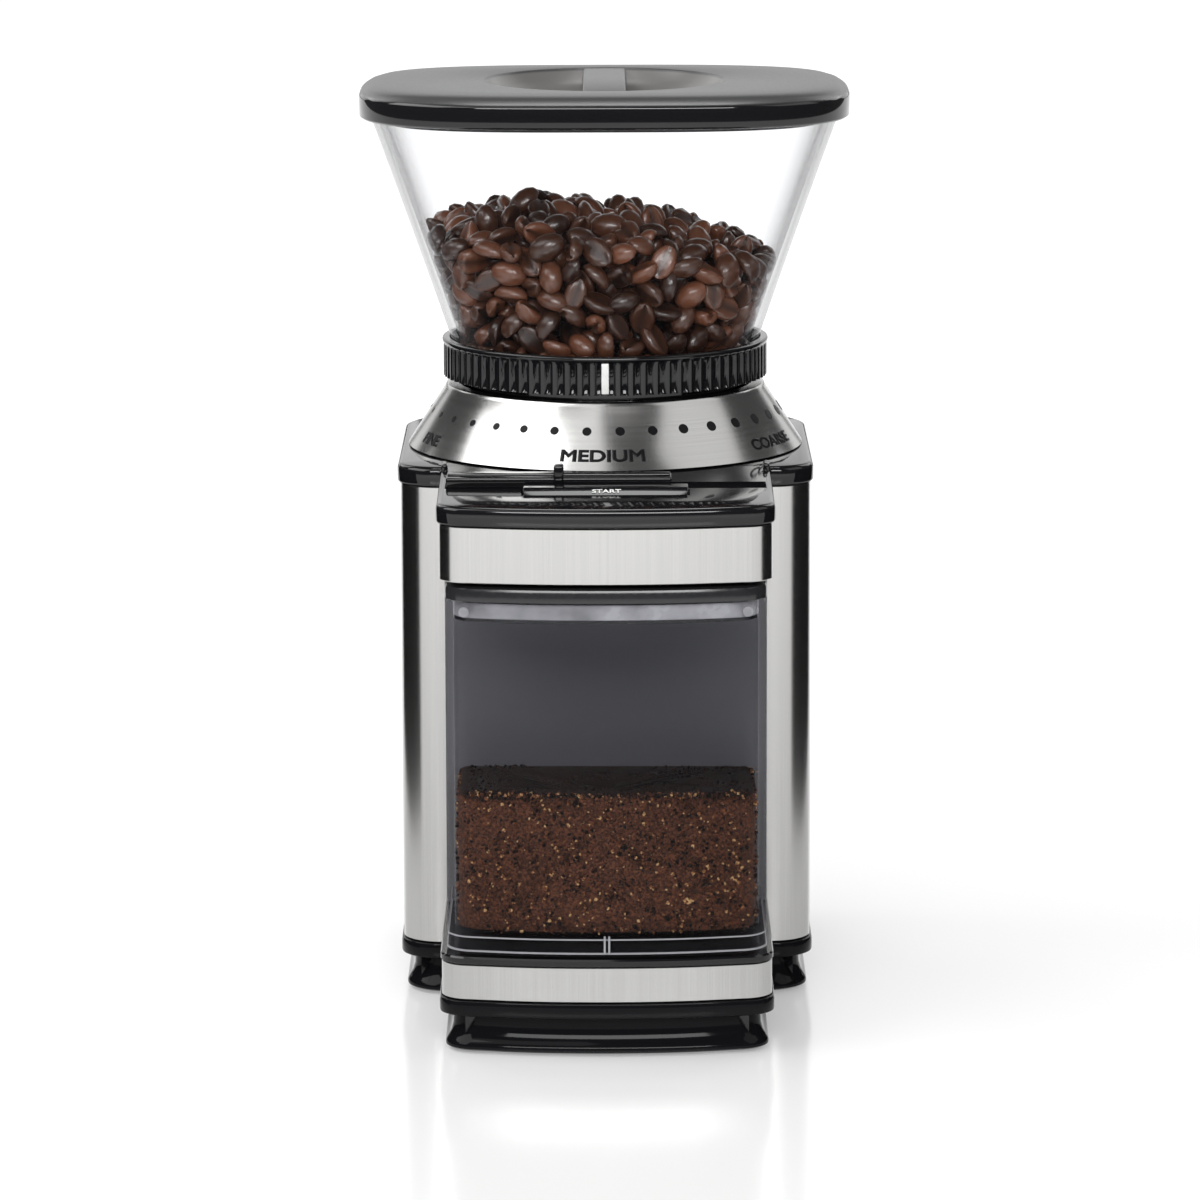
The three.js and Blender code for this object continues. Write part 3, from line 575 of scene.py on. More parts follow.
def ground_brown():
    """Ground coffee: dark red-brown crumbs with tan flecks."""
    tint = Vector(bpy.context.scene.grinder_colours.grounds)
    finish = Finish("ground_coffee", Specular_IOR_Level=0.2)
    tone = finish.attribute("tone")
    crumbs = finish.node("TexVoronoi", {}, {"Vector": finish.place(), "Scale": 1900.0})
    parts = finish.node("SeparateColor", {}, {"Color": crumbs.outputs["Color"]})
    crumb_tone = Value(finish, parts.outputs[0])
    crumb_gap = Value(finish, crumbs.outputs["Distance"])
    shade = finish.ramp(
        # the tone attribute carries random crumb tones and also painted shade: low tones on the top surface
        # and its crumbs
        tone * (crumb_tone + 0.5),
        (0.03, tuple(tint * 0.05)), (0.2, tuple(tint * 0.35)), (0.42, tuple(tint)), (0.7, tuple(tint * 2.4)),
        (0.85, (0.4, 0.19, 0.075)), (1.0, (0.6, 0.38, 0.17)),
    )
    finish.set("Base Color", shade)
    finish.set("Roughness", crumb_tone * 0.2 + 0.6)
    finish.bump(1 - crumb_gap, 0.0005, 0.9)
    return finish.material


def paint_materials():
    """Makes every finish once, by name."""
    made = {
        "gloss_black": gloss_black("gloss_black_plastic", 0.5),
        "base_black": gloss_black("base_black_plastic", 0.12),
        "lid_black": lid_black(),
        "satin_black": satin_black(),
        "wall_grey": wall_grey(),
        "shell_steel": brushed("upright_brushed_steel", upright_grain),
        "dial_steel": brushed("round_brushed_steel", round_grain),
        "burr_steel": brushed("ground_burr_steel", round_grain, 0.6),
        "screw_steel": brushed("screw_steel", flat_grain, 0.8),
        "hopper_clear": clear("clear_plastic", (0.984, 0.985, 0.988), (0.3, 0.3, 0.31), 0.006, 0.95),
        "chamber_smoke": clear("smoked_plastic", (0.93, 0.93, 0.94), (0.3, 0.3, 0.32), 0.012, 0.3),
        "frosted": frosted(),
        "pale_edge": plain("pale_chamber_edge", (0.3, 0.3, 0.32), 0.2),
        "cover_dark": plain("dark_cover", (0.02, 0.02, 0.022), 0.16, depth=0.00001),
        "white": plain("pointer_white", (0.82, 0.82, 0.8), 0.35),
        "ink": plain("printed_black", (0.006, 0.006, 0.007), 0.35, Specular_IOR_Level=0.15),
        "rubber": plain("foot_rubber", (0.02, 0.02, 0.02), 0.8, depth=0.0001),
        "cast": plain("cast_aluminium", (0.42, 0.42, 0.43), 0.5, 1.0, 500, 0.0001),
        "copper": plain("copper_winding", (0.5, 0.2, 0.08), 0.35, 1.0),
        "board": plain("circuit_board", (0.02, 0.13, 0.06), 0.4),
        "bean": bean_brown(),
        "grounds": ground_brown(),
    }
    return made


PAINT = {}


# ---- housing ----
def make_base():
    """Black base: continuous lip, recessed neck, flared foot, and the platform under the chamber."""
    bottom = BASE_LOW.z
    levels = [
        (-7 * MM, bottom + 1.2 * MM), (-6.4 * MM, bottom), (-1.6 * MM, bottom),
        (-1.0 * MM, bottom + 0.5 * MM),
        (-0.9 * MM, bottom + 1.1 * MM), (-1.1 * MM, bottom + 1.9 * MM), (-1.7 * MM, bottom + 2.8 * MM),
        (-2.6 * MM, bottom + 4.4 * MM), (-3.1 * MM, bottom + 6.6 * MM), (-3.2 * MM, LIP_BOTTOM),
        (0.1 * MM, LIP_BOTTOM), (0.55 * MM, LIP_BOTTOM + 0.3 * MM), (0.7 * MM, LIP_BOTTOM + 0.9 * MM),
        (0.7 * MM, LIP_TOP - 0.9 * MM), (0.5 * MM, LIP_TOP - 0.25 * MM), (0, LIP_TOP),
    ]
    bm = outline_loft(full_plan, levels)
    return add_piece(bm, "base_moulding", "housing", PAINT["base_black"], ["base"])


def make_gussets():
    """Thin triangular webs that run from the neck out to the lip near the front corners."""
    top, foot = LIP_BOTTOM + 0.2 * MM, BASE_LOW.z + 4.8 * MM
    spots = [
        (HEAD_HALF - 6.9 * MM, HEAD_FRONT + 5.2 * MM, HEAD_FRONT + 7.6 * MM),
        (BODY_HALF - 5.4 * MM, BODY_FRONT + 2.4 * MM, BODY_FRONT + 4.0 * MM),
    ]
    bm = bmesh.new()
    for side in (-1, 1):
        for x, lip_y, neck_y in spots:
            inner = side * (x - 3.9 * MM)
            web = bmesh.new()
            corners = [(side * x, lip_y, top), (inner, neck_y, top), (side * x, neck_y - 0.6 * MM, foot)]
            face = web.faces.new([web.verts.new(corner) for corner in corners])
            bmesh.ops.solidify(web, geom=[face], thickness=0.7 * MM)
            absorb(bm, web)
    add_piece(bm, "base_gussets", "housing", PAINT["gloss_black"])


def make_platform():
    """Steel band round the platform and the thin black tray on it."""
    add_sheet("platform_band", head_plan, BAND_LOW.z, BAND_HIGH.z, behind_head(), ["front_band"])
    low, high = TRAY_LOW.z, TRAY_HIGH.z
    back = BODY_FRONT - 0.3 * MM
    levels = [(-1 * MM, low), (0.1 * MM, low), (0.35 * MM, low + 0.3 * MM), (0.35 * MM, high - 0.5 * MM),
              (0, high), (-2.8 * MM, high), (-3.2 * MM, high - 0.7 * MM)]
    tray = outline_loft(lambda grow: head_plan(grow, back - max(0, -grow)), levels)
    add_piece(tray, "chamber_tray", "housing", PAINT["gloss_black"], ["platform_tray"])


def add_sheet(name, plan, low, high, gap, replaced):
    """Brushed sheet along an outline, cut open where gap, a box from low to high corner, takes it away."""
    wall = hoop(plan, low, high, 0, 0.8 * MM)
    long_edges = [edge for edge in wall.edges if edge.is_manifold and edge.calc_face_angle() > 1.2]
    level = [edge for edge in long_edges if abs(edge.verts[0].co.z - edge.verts[1].co.z) < 1e-6]
    bevel_edges(wall, level, 0.2 * MM, 1)
    mesh = carve(wall, box(*gap))
    add_mesh(mesh, name, "housing", PAINT["shell_steel"], replaced)


def make_shell():
    """Steel wrap of the wide body, open behind the head."""
    low = (-HEAD_HALF, BODY_FRONT - 1 * MM, 0)
    high = (HEAD_HALF, BODY_FRONT + 2 * MM, LID_HIGH.z)
    add_sheet("body_shell", body_plan, SHELL_LOW.z, SHELL_HIGH.z, (low, high), ["steel_shell"])


def make_head():
    """Upper steel panel round the head's front and sides."""
    add_sheet("head_band", head_plan, PANEL_LOW.z, PANEL_HIGH.z, behind_head(), ["head_panel"])


def behind_head():
    """The box that opens the head's and the platform's sheets at the back."""
    x = HEAD_HALF + 1 * MM
    return (-x, BODY_FRONT - 0.3 * MM, 0), (x, BODY_FRONT + 5 * MM, LID_HIGH.z)


def make_deck():
    """Glossy top cover with its rounded rim, burr opening, slider track and button well."""
    low, high = DECK_LOW.z, DECK_HIGH.z
    levels = [
        (-2 * MM, low), (0.2 * MM, low), (0.6 * MM, low + 0.25 * MM), (0.8 * MM, low + 0.8 * MM),
        (0.8 * MM, high - 1.5 * MM), (0.62 * MM, high - 0.8 * MM), (0.2 * MM, high - 0.25 * MM),
        (-0.6 * MM, high),
    ]
    deck = outline_loft(full_plan, levels)
    opening = turned([(0, low - 0.01), (52 * MM, low - 0.01), (52 * MM, high + 0.01), (0, high + 0.01)], 96)
    track_end = HEAD_HALF - 1.2 * MM
    track = box(
        (-track_end, SLIDER_LOW.y - 0.3 * MM, high - 1.4 * MM),
        (track_end, SLIDER_HIGH.y + 0.3 * MM, high + 0.01),
    )
    stem_slot = box((-17.5 * MM, STEM_Y - 2.5 * MM, low - 0.01), (17.5 * MM, STEM_Y + 2.5 * MM, high + 0.01))
    flange, gap = BUTTON_FLANGE, 0.5 * MM
    well = box(
        (BUTTON_LOW.x + flange - gap, BUTTON_LOW.y + flange - gap, low - 0.01),
        (BUTTON_HIGH.x - flange + gap, BUTTON_HIGH.y - flange + gap, high + 0.01),
    )
    pocket = outline_loft(full_plan, [(-2.2 * MM, low - 0.01), (-2.2 * MM, high - 3.4 * MM)])
    mesh = carve(deck, opening, track, stem_slot, well, pocket)
    add_mesh(mesh, "deck_cover", "housing", PAINT["gloss_black"], ["top_cover"])


def make_slider():
    """Amount slider: upright thumb blade on a long cover strip."""
    middle = (SLIDER_LOW.x + SLIDER_HIGH.x) / 2
    top = DECK_TOP + 2.9 * MM
    foot = DECK_TOP - 1.1 * MM
    bm = box((SLIDER_LOW.x, SLIDER_LOW.y + 0.9 * MM, foot), (SLIDER_HIGH.x, SLIDER_HIGH.y, top), 0.5 * MM, 3)
    blade = 1.45 * MM
    absorb(bm, box(
        (middle - blade, SLIDER_LOW.y, foot), (middle + blade, STEM_Y, SLIDER_HIGH.z), 0.6 * MM, 3,
    ))
    step = box(
        (SLIDER_LOW.x + 0.4 * MM, SLIDER_LOW.y + 5 * MM, top - 0.2 * MM),
        (SLIDER_HIGH.x - 0.4 * MM, SLIDER_HIGH.y - 0.8 * MM, top + 0.5 * MM), 0.25 * MM,
    )
    absorb(bm, step)
    stem = 1.4 * MM
    absorb(bm, box(
        (middle - stem, STEM_Y - stem, SLIDER_LOW.z),
        (middle + stem, STEM_Y + stem, foot + 0.5 * MM), 0.2 * MM,
    ))
    add_piece(bm, "amount_slider_knob", "slider", PAINT["gloss_black"], ["amount_slider"])


def prism(profile, low_x, high_x, bevel, segments=2):
    """A length of the (y, z) profile along X with rounded edges."""
    bm = bmesh.new()
    face = bm.faces.new([bm.verts.new((low_x, y, z)) for y, z in profile])
    made = bmesh.ops.extrude_face_region(bm, geom=[face])
    moved = [item for item in made["geom"] if isinstance(item, bmesh.types.BMVert)]
    bmesh.ops.translate(bm, verts=moved, vec=(high_x - low_x, 0, 0))
    bmesh.ops.recalc_face_normals(bm, faces=bm.faces)
    bevel_edges(bm, bm.edges[:], bevel, segments)
    return bm


def make_button():
    """START button: low pad with its word on the sloping front."""
    flange = BUTTON_FLANGE
    low = BUTTON_LOW.z + flange
    front, back, top = BUTTON_LOW.y + flange, BUTTON_HIGH.y - flange, BUTTON_HIGH.z
    slope = 3.2 * MM
    profile = [(front, low), (front, DECK_TOP - 0.1 * MM), (front + slope, top), (back, top), (back, low)]
    bm = prism(profile, BUTTON_LOW.x + flange, BUTTON_HIGH.x - flange, 0.35 * MM, 3)
    absorb(bm, box(BUTTON_LOW, (BUTTON_HIGH.x, BUTTON_HIGH.y, low + 0.1 * MM), 0.4 * MM))
    add_piece(bm, "start_pad", "button", PAINT["gloss_black"], ["start_button"])
    lean = math.atan2(top - DECK_TOP, slope)
    middle = Vector((0.3 * MM, front + slope / 2 - 0.1 * MM, (top + DECK_TOP) / 2 + 0.05 * MM))
    word = lettering("START", 1.7 * MM, 8.4 * MM, Matrix.Translation(middle) @ Matrix.Rotation(lean, 4, "X"))
    add_piece(word, "start_word", "button", PAINT["white"])


def make_fins():
    """Small upright ribs on the deck where the head meets the body."""
    bm = bmesh.new()
    for side in (-1, 1):
        x = side * (HEAD_HALF - 0.4 * MM)
        fin = box(
            (x - 0.9 * MM, BODY_FRONT - 9 * MM, DECK_TOP - 0.5 * MM),
            (x + 0.9 * MM, BODY_FRONT - 1.5 * MM, DECK_TOP + 2.2 * MM), 0.5 * MM, 3,
        )
        absorb(bm, fin)
    add_piece(bm, "deck_fins", "housing", PAINT["gloss_black"])


def lettering(words, height, width, matrix, bold=0.015):
    """Raised letters centred on the matrix, with the given cap height and overall width."""
    curve = bpy.data.curves.new("letters", "FONT")
    curve.body = words
    curve.size = 1
    curve.extrude = 0.01
    curve.bevel_depth = bold
    curve.bevel_resolution = 0
    text = bpy.data.objects.new("letters", curve)
    link(text)
    bpy.context.view_layer.update()
    depsgraph = bpy.context.evaluated_depsgraph_get()
    mesh = bpy.data.meshes.new_from_object(text.evaluated_get(depsgraph))
    bpy.data.objects.remove(text)
    bpy.data.curves.remove(curve)
    bm = bmesh.new()
    bm.from_mesh(mesh)
    bpy.data.meshes.remove(mesh)
    bmesh.ops.remove_doubles(bm, verts=bm.verts, dist=1e-5)
    xs = [vert.co.x for vert in bm.verts]
    ys = [vert.co.y for vert in bm.verts]
    size = Vector((width / (max(xs) - min(xs)), height / (max(ys) - min(ys)), 4 * MM))
    middle = Vector(((max(xs) + min(xs)) / 2, (max(ys) + min(ys)) / 2, 0))
    bmesh.ops.translate(bm, verts=bm.verts, vec=-middle)
    bmesh.ops.scale(bm, verts=bm.verts, vec=size)
    bmesh.ops.transform(bm, verts=bm.verts, matrix=matrix)
    return bm


# ---- dial ----
def cone_point(angle, height, out=0.0):
    """Point on the dial cone: angle from the front in radians, height above its foot, and distance off it."""
    radius = CONE_FOOT - (height - CONE_START) * math.tan(CONE_SLOPE) + out * math.cos(CONE_SLOPE)
    z = DIAL_LOW.z + height + out * math.sin(CONE_SLOPE)
    return Vector((radius * math.sin(angle), BURR_Y - radius * math.cos(angle), z))


def wrap_on_cone(bm, centre_degrees, height):
    """Bends flat artwork, x along the ring and y up the slope, onto the cone."""
    bmesh.ops.triangulate(bm, faces=bm.faces)
    half = max(abs(vert.co.x) for vert in bm.verts)
    for x in np.arange(-half, half, 0.8 * MM):
        everything = bm.verts[:] + bm.edges[:] + bm.faces[:]
        bmesh.ops.bisect_plane(bm, geom=everything, plane_co=(x, 0, 0), plane_no=(1, 0, 0))
    reach = cone_point(math.pi / 2, height).x
    for vert in bm.verts:
        x, y, lift = vert.co
        angle = math.radians(centre_degrees) + x / reach
        vert.co = cone_point(angle, height + y * math.cos(CONE_SLOPE), lift)


def make_dial():
    """Steel cone ring with a rolled rim, its dots and its three words."""
    low, high = DIAL_LOW.z, DIAL_HIGH.z
    foot, neck = CONE_FOOT, CONE_NECK
    profile = [
        (foot - 1.4 * MM, low), (foot - 0.3 * MM, low), (foot, low + CONE_START),
        (neck, high - 1.3 * MM), (neck - 0.15 * MM, high - 0.7 * MM), (neck - 0.6 * MM, high - 0.15 * MM),
        (neck - 1.15 * MM, high), (neck - 4.25 * MM, high), (neck - 4.25 * MM, high - 1.2 * MM),
        (neck - 1.45 * MM, high - 1.5 * MM),
    ]
    cone = turned(profile, 180, closed=True)
    add_piece(cone, "dial_cone", "housing", PAINT["dial_steel"], ["dial_ring"])
    marks = bmesh.new()
    for i in range(DOTS):
        share = i / (DOTS - 1)
        dot = bmesh.new()
        radius = (0.55 + 1.3 * share ** 0.6) * MM
        bmesh.ops.create_cone(
            dot, cap_ends=True, segments=24, radius1=radius, radius2=radius, depth=0.16 * MM,
        )
        wrap_on_cone(dot, (i - (DOTS - 1) / 2) * DOT_STEP - 0.6, 10.95 * MM)
        absorb(marks, dot)
    for words, degrees, height, width in (
            ("MEDIUM", -0.8, 4.0, 25.3), ("FINE", -66, 3.8, 10.8), ("COARSE", 61.3, 3.8, 22.8)):
        art = lettering(words, height * MM, width * MM, Matrix.Identity(4), 0.04)
        wrap_on_cone(art, degrees, 4.3 * MM)
        absorb(marks, art)
    add_piece(marks, "dial_marks", "housing", PAINT["ink"])


# ---- hopper ----
def collar_radius(depth):
    """Radius of the ribbed collar as a function of the angle, with grooves of the given depth."""
    outer = COLLAR_HIGH.x - 0.35 * MM
    ribs = 80

    def radius_at(angle):
        wave = math.cos((angle + math.pi / 2) * ribs)
        return outer - depth * max(0.0, min(1.0, 0.5 - 0.9 * wave))
    return radius_at


def ring(radius):
    return lambda angle: radius


def make_collar():
    """Black collar: smooth lip, upright ribs, sleeve down to the adjusting ring."""
    low, high = POINTER_LOW.z - 0.6 * MM, COLLAR_HIGH.z
    outer = COLLAR_HIGH.x
    groove = 1.0 * MM
    rings = [
        (COLLAR_LOW.z, ring(41.2 * MM)), (COLLAR_LOW.z, ring(43.4 * MM)), (low, ring(43.4 * MM)),
        (low, ring(outer - 2 * MM)), (low + 0.1 * MM, collar_radius(groove * 0.6)),
        (low + 0.8 * MM, collar_radius(groove)), (high - 2.6 * MM, collar_radius(groove)),
        (high - 1.8 * MM, collar_radius(groove * 0.3)), (high - 1.6 * MM, ring(outer - 0.3 * MM)),
        (high - 1.2 * MM, ring(outer)), (high - 0.5 * MM, ring(outer)),
        (high - 0.1 * MM, ring(outer - 0.3 * MM)), (high, ring(outer - 0.8 * MM)),
        (high, ring(HOPPER_FOOT + 0.4 * MM)), (high - 8.4 * MM, ring(HOPPER_FOOT + 0.3 * MM)),
        (high - 8.4 * MM, ring(41.2 * MM)), (COLLAR_LOW.z, ring(41.2 * MM)),
    ]
    bm = ring_loft(rings, 960, cap_start=False, cap_end=False)
    add_piece(bm, "ribbed_collar", "hopper", PAINT["gloss_black"], ["hopper_collar"], sharp=50)
    bar = box(POINTER_LOW, POINTER_HIGH, 0.3 * MM, 3)
    bmesh.ops.translate(bar, verts=bar.verts, vec=(0, 0.1 * MM, 0))
    add_piece(bar, "pointer_bar", "hopper", PAINT["white"], ["hopper_pointer"])


def hopper_radius(offset, rise):
    """Hopper wall at a share of its height: a circle at the collar, a rounded rectangle at the mouth."""
    mouth = superellipse(HOPPER_HIGH.x, (HOPPER_HIGH.y - HOPPER_LOW.y) / 2)
    return lambda angle: HOPPER_FOOT + (mouth(angle) - HOPPER_FOOT) * rise + offset


def make_hopper():
    """Clear flared hopper with a rounded lip and a funnel floor."""
    foot_z = WALL_START - 8.2 * MM
    top = HOPPER_HIGH.z
    tall = top - WALL_START
    outside = [(WALL_START + tall * rise, hopper_radius(0, rise)) for rise in (0, 0.25, 0.5, 0.75, 0.985)]
    inside = [(z, hopper_radius(-HOPPER_WALL, (z - WALL_START) / tall)) for z, _ in reversed(outside)]
    rings = [
        (HOPPER_LOW.z, ring(20 * MM)), (HOPPER_LOW.z, ring(22.5 * MM)), (foot_z - 7 * MM, ring(22.5 * MM)),
        (foot_z - 0.3 * MM, ring(37 * MM)), (foot_z, ring(HOPPER_FOOT - 0.5 * MM)),
        (foot_z + 0.5 * MM, ring(HOPPER_FOOT)),
        *outside,
        (top - 0.3 * MM, hopper_radius(-0.2 * MM, 1)), (top, hopper_radius(-0.8 * MM, 1)),
        (top, hopper_radius(0.8 * MM - HOPPER_WALL, 1)),
        (top - 0.3 * MM, hopper_radius(0.2 * MM - HOPPER_WALL, 1)),
        *inside,
        (foot_z + 2.6 * MM, ring(HOPPER_FOOT - HOPPER_WALL)), (foot_z + 2.2 * MM, ring(36 * MM)),
        (foot_z - 5 * MM, ring(20 * MM)), (HOPPER_LOW.z, ring(20 * MM)),
    ]
    bm = ring_loft(rings, 192, cap_start=False, cap_end=False)
    add_piece(bm, "clear_hopper", "hopper", PAINT["hopper_clear"], ["hopper"], sharp=60)


def make_lid():
    """Black lid: rounded rectangle with a round finger bowl and a grip bar across it."""
    half_x = LID_HIGH.x
    half_y = (LID_HIGH.y - LID_LOW.y) / 2
    top = LID_HIGH.z
    seat = HOPPER_HIGH.z + 0.3 * MM
    plug_x, plug_y = 66.7 * MM, 49 * MM

    def rim(inset):
        return superellipse(half_x - inset * MM, half_y - inset * MM)

    rings = [
        (seat - 1.4 * MM, superellipse(plug_x - 0.3 * MM, plug_y - 0.3 * MM)),
        (seat - 1.1 * MM, superellipse(plug_x, plug_y)), (seat, superellipse(plug_x, plug_y)),
        (seat, rim(1.0)), (seat + 0.2 * MM, rim(0.4)), (seat + 0.7 * MM, rim(0)), (top - 3.4 * MM, rim(0)),
        (top - 2.9 * MM, rim(0.15)), (top - 2.2 * MM, rim(0.9)), (top - 1.2 * MM, rim(2.4)),
        (top - 0.5 * MM, rim(4.6)),
        (top - 0.15 * MM, rim(8)), (top, rim(13)), (top, ring(36.8 * MM)), (top - 0.1 * MM, ring(36.5 * MM)),
        (top - 0.3 * MM, ring(36.3 * MM)), (top - 3.2 * MM, ring(34.6 * MM)), (top - 5.6 * MM, ring(31 * MM)),
        (top - 7.3 * MM, ring(26 * MM)), (top - 8.1 * MM, ring(20 * MM)), (top - 8.3 * MM, ring(8 * MM)),
    ]
    bm = ring_loft(rings, 192)
    grip_x, grip_y = 6.4 * MM, 37 * MM
    absorb(bm, box(
        (-grip_x, BURR_Y - grip_y, top - 8.6 * MM), (grip_x, BURR_Y + grip_y, top - 0.1 * MM), 0.6 * MM, 3,
    ))
    add_piece(bm, "lid_moulding", "lid", PAINT["lid_black"], ["hopper_lid"])


# ---- chamber ----
def make_chamber():
    """Smoked chamber with a ribbed bottom skirt, and its dark cover with a pale lip."""
    low, high = CHAMBER_LOW.z, CHAMBER_HIGH.z
    wall = 2.2 * MM
    floor = low + 6.3 * MM
    levels = [
        (-wall, floor - wall), (-wall, low), (-0.4 * MM, low), (0, low + 0.4 * MM), (0, low + 4.6 * MM),
        (-0.35 * MM, low + 5.0 * MM), (-0.35 * MM, low + 5.5 * MM), (0, low + 5.9 * MM),
        (0, high - 0.5 * MM), (-0.5 * MM, high), (0.4 * MM - wall, high), (-wall, high - 0.4 * MM),
        (-wall, floor + 0.8 * MM), (-wall - 0.8 * MM, floor),
    ]
    bm = outline_loft(chamber_plan, levels)
    add_piece(bm, "chamber_walls", "chamber", PAINT["chamber_smoke"], ["chamber"])
    skirt = hoop(chamber_plan, low + 0.9 * MM, low + 1.4 * MM, 0.15 * MM, 0.4 * MM)
    absorb(skirt, hoop(chamber_plan, low + 5.0 * MM, low + 5.4 * MM, -0.1 * MM, 0.2 * MM))
    front = CHAMBER_LOW.y
    for x in (-0.65 * MM, 0.65 * MM):
        absorb(skirt, box(
            (x - 0.3 * MM, front - 0.25 * MM, low + 1 * MM),
            (x + 0.3 * MM, front + 0.4 * MM, low + 6.4 * MM), 0.1 * MM,
        ))
    add_piece(skirt, "chamber_skirt_lines", "chamber", PAINT["pale_edge"])
    low, high = COVER_LOW.z, COVER_HIGH.z
    seat = CHAMBER_HIGH.z + 0.3 * MM
    levels = [
        (-wall - 2 * MM, high - 2 * MM), (-wall - 2 * MM, low), (-wall - 1.2 * MM, low),
        (-wall - 1.2 * MM, seat), (-0.3 * MM, seat), (0, seat + 0.3 * MM), (0, high - 1.4 * MM),
        (-0.3 * MM, high - 0.5 * MM), (-1 * MM, high),
    ]
    lid = outline_loft(chamber_plan, levels)
    inlet = box((-15 * MM, COVER_HIGH.y - 29 * MM, low - 0.01), (15 * MM, COVER_HIGH.y - 9 * MM, high + 0.01))
    mesh = carve(lid, inlet)
    add_mesh(mesh, "chamber_cover", "chamber", PAINT["cover_dark"], ["chamber_lid"])
    lip = hoop(chamber_plan, LIP_DARK_TOP - 1 * MM, seat - 0.6 * MM, -wall - 0.2 * MM, 0.8 * MM)
    for side in (-1, 1):
        tab = (side * (CHAMBER_HIGH.x - 5.6 * MM), CHAMBER_LOW.y + BOW, LIP_DARK_TOP + 2.1 * MM)
        turn = Matrix.Translation(tab) @ Matrix.Rotation(math.pi / 2, 4, "X")
        bmesh.ops.create_cone(
            lip, cap_ends=True, segments=24, radius1=1.5 * MM, radius2=1.5 * MM, depth=1 * MM, matrix=turn,
        )
    add_piece(lip, "cover_lip", "chamber", PAINT["frosted"])


def hoop(plan, low, high, grow, thickness):
    """A flat band that follows an outline all round."""
    bm = bmesh.new()
    loops = [outline_loop(bm, plan(reach), z) for reach, z in (
        (grow, low), (grow, high), (grow - thickness, high), (grow - thickness, low))]
    for first, second in zip(loops, loops[1:] + loops[:1]):
        bmesh.ops.bridge_loops(bm, edges=first + second)
    return bm


# ---- coffee ----
HEAP_TOP = 0.2335                   # height of the heap of beans at its middle
HEAP_FALL = 0.011                   # how much lower it is at the hopper's wall
HEAP_LEAN = 0.11                    # and its slope down to the right
SETTLING_ROUNDS = 140
LARGE_CRUMBS = 0.012                # share of crumbs that are large


def bean_shape():
    """One coffee bean: long axis X, round back up, flat face with a crease down."""
    bm = bmesh.new()
    tilt = Matrix.Rotation(math.pi / 2, 4, "Y")
    bmesh.ops.create_uvsphere(bm, u_segments=12, v_segments=7, radius=1, matrix=tilt)
    crease = bm.verts.layers.float.new("crease")
    tone = bm.verts.layers.float.new("tone")
    for vert in bm.verts:
        x, y, z = vert.co
        on_crease = z < 0 and abs(y) < 0.05 and abs(x) < 0.95
        flat = 0.4 if z < 0 else 1.0
        vert.co = Vector((x * 5.5, y * 3.8 * (1 - 0.06 * x * x), z * 3.7 * flat)) * MM
        if on_crease:
            vert.co.z += 1.1 * MM
            # this crease mark also darkens these vertices in the bean finish, as painted shade
            vert[crease] = 1.0
        vert[tone] = 0.0
    return bm


def heap_top(x, y):
    """Height of the heap of beans over a point: highest near the middle, lower on the right."""
    out = math.hypot(x, y - BURR_Y) / (50 * MM)
    bump = noise.noise(Vector((x * 45 + 3, y * 45, 0.5)))
    return HEAP_TOP - HEAP_FALL * out * out - HEAP_LEAN * x + 0.0035 * bump


def settle_beans(count, radius):
    """Spreads bean centres through the heap by pushing overlapping ones apart."""
    rng = np.random.default_rng(7)
    floor = WALL_START - 4.5 * MM
    spots = rng.uniform((-0.05, BURR_Y - 0.05, floor), (0.05, BURR_Y + 0.05, 0.236), (count, 3))
    for _ in range(SETTLING_ROUNDS):
        gap = spots[:, None, :] - spots[None, :, :]
        away = np.sqrt((gap ** 2).sum(axis=2)) + np.eye(count)
        push = np.clip(2 * radius - away, 0, None) / away * 0.3
        spots = spots + (gap * push[:, :, None]).sum(axis=1)
        for spot in spots:
            hold_in_heap(spot, radius, floor)
    return spots


def hold_in_heap(spot, radius, floor):
    """Keeps one bean centre inside the hopper wall and under the heap's top."""
    x, y = spot[0], spot[1] - BURR_Y
    rise = max(0.0, (spot[2] - WALL_START) / (HOPPER_HIGH.z - WALL_START))
    angle = math.atan2(y, x)
    limit = hopper_radius(-HOPPER_WALL - radius, rise)(angle)
    reach = math.hypot(x, y)
    if reach > limit:
        spot[0] = x * limit / reach
        spot[1] = BURR_Y + y * limit / reach
    spot[2] = min(max(spot[2], floor), heap_top(spot[0], spot[1]))


def make_beans():
    """Fills the hopper with roasted beans."""
    settings = bpy.context.scene.grinder_sizes
    random.seed(11)
    shape = as_mesh(bean_shape(), "bean")
    bm = bmesh.new()
    tone = None
    for spot in settle_beans(settings.bean_count, settings.bean_radius):
        first = len(bm.verts)
        bm.from_mesh(shape)
        bm.verts.ensure_lookup_table()
        tone = bm.verts.layers.float["tone"]
        turn = Quaternion([random.gauss(0, 1) for _ in range(4)]).normalized()
        size = random.uniform(0.88, 1.1)
        matrix = Matrix.Translation(Vector(spot)) @ turn.to_matrix().to_4x4() @ Matrix.Scale(size, 4)
        shade = random.random()
        verts = bm.verts[first:]
        bmesh.ops.transform(bm, verts=verts, matrix=matrix)
        for vert in verts:
            vert[tone] = shade
    bpy.data.meshes.remove(shape)
    for vert in bm.verts:
        keep_inside(vert)
    mesh = as_mesh(bm, "coffee_beans")
    add_mesh(mesh, "coffee_beans", "hopper", PAINT["bean"], sharp=180)


def keep_inside(vert):
    """Presses a bean's vertex back inside the hopper's inner wall."""
    rise = (vert.co.z - WALL_START) / (HOPPER_HIGH.z - WALL_START)
    x, y = vert.co.x, vert.co.y - BURR_Y
    angle = math.atan2(y, x)
    limit = hopper_radius(-HOPPER_WALL - 0.2 * MM, max(0.0, rise))(angle)
    reach = math.hypot(x, y)
    if reach > limit:
        vert.co.x = x * limit / reach
        vert.co.y = BURR_Y + y * limit / reach


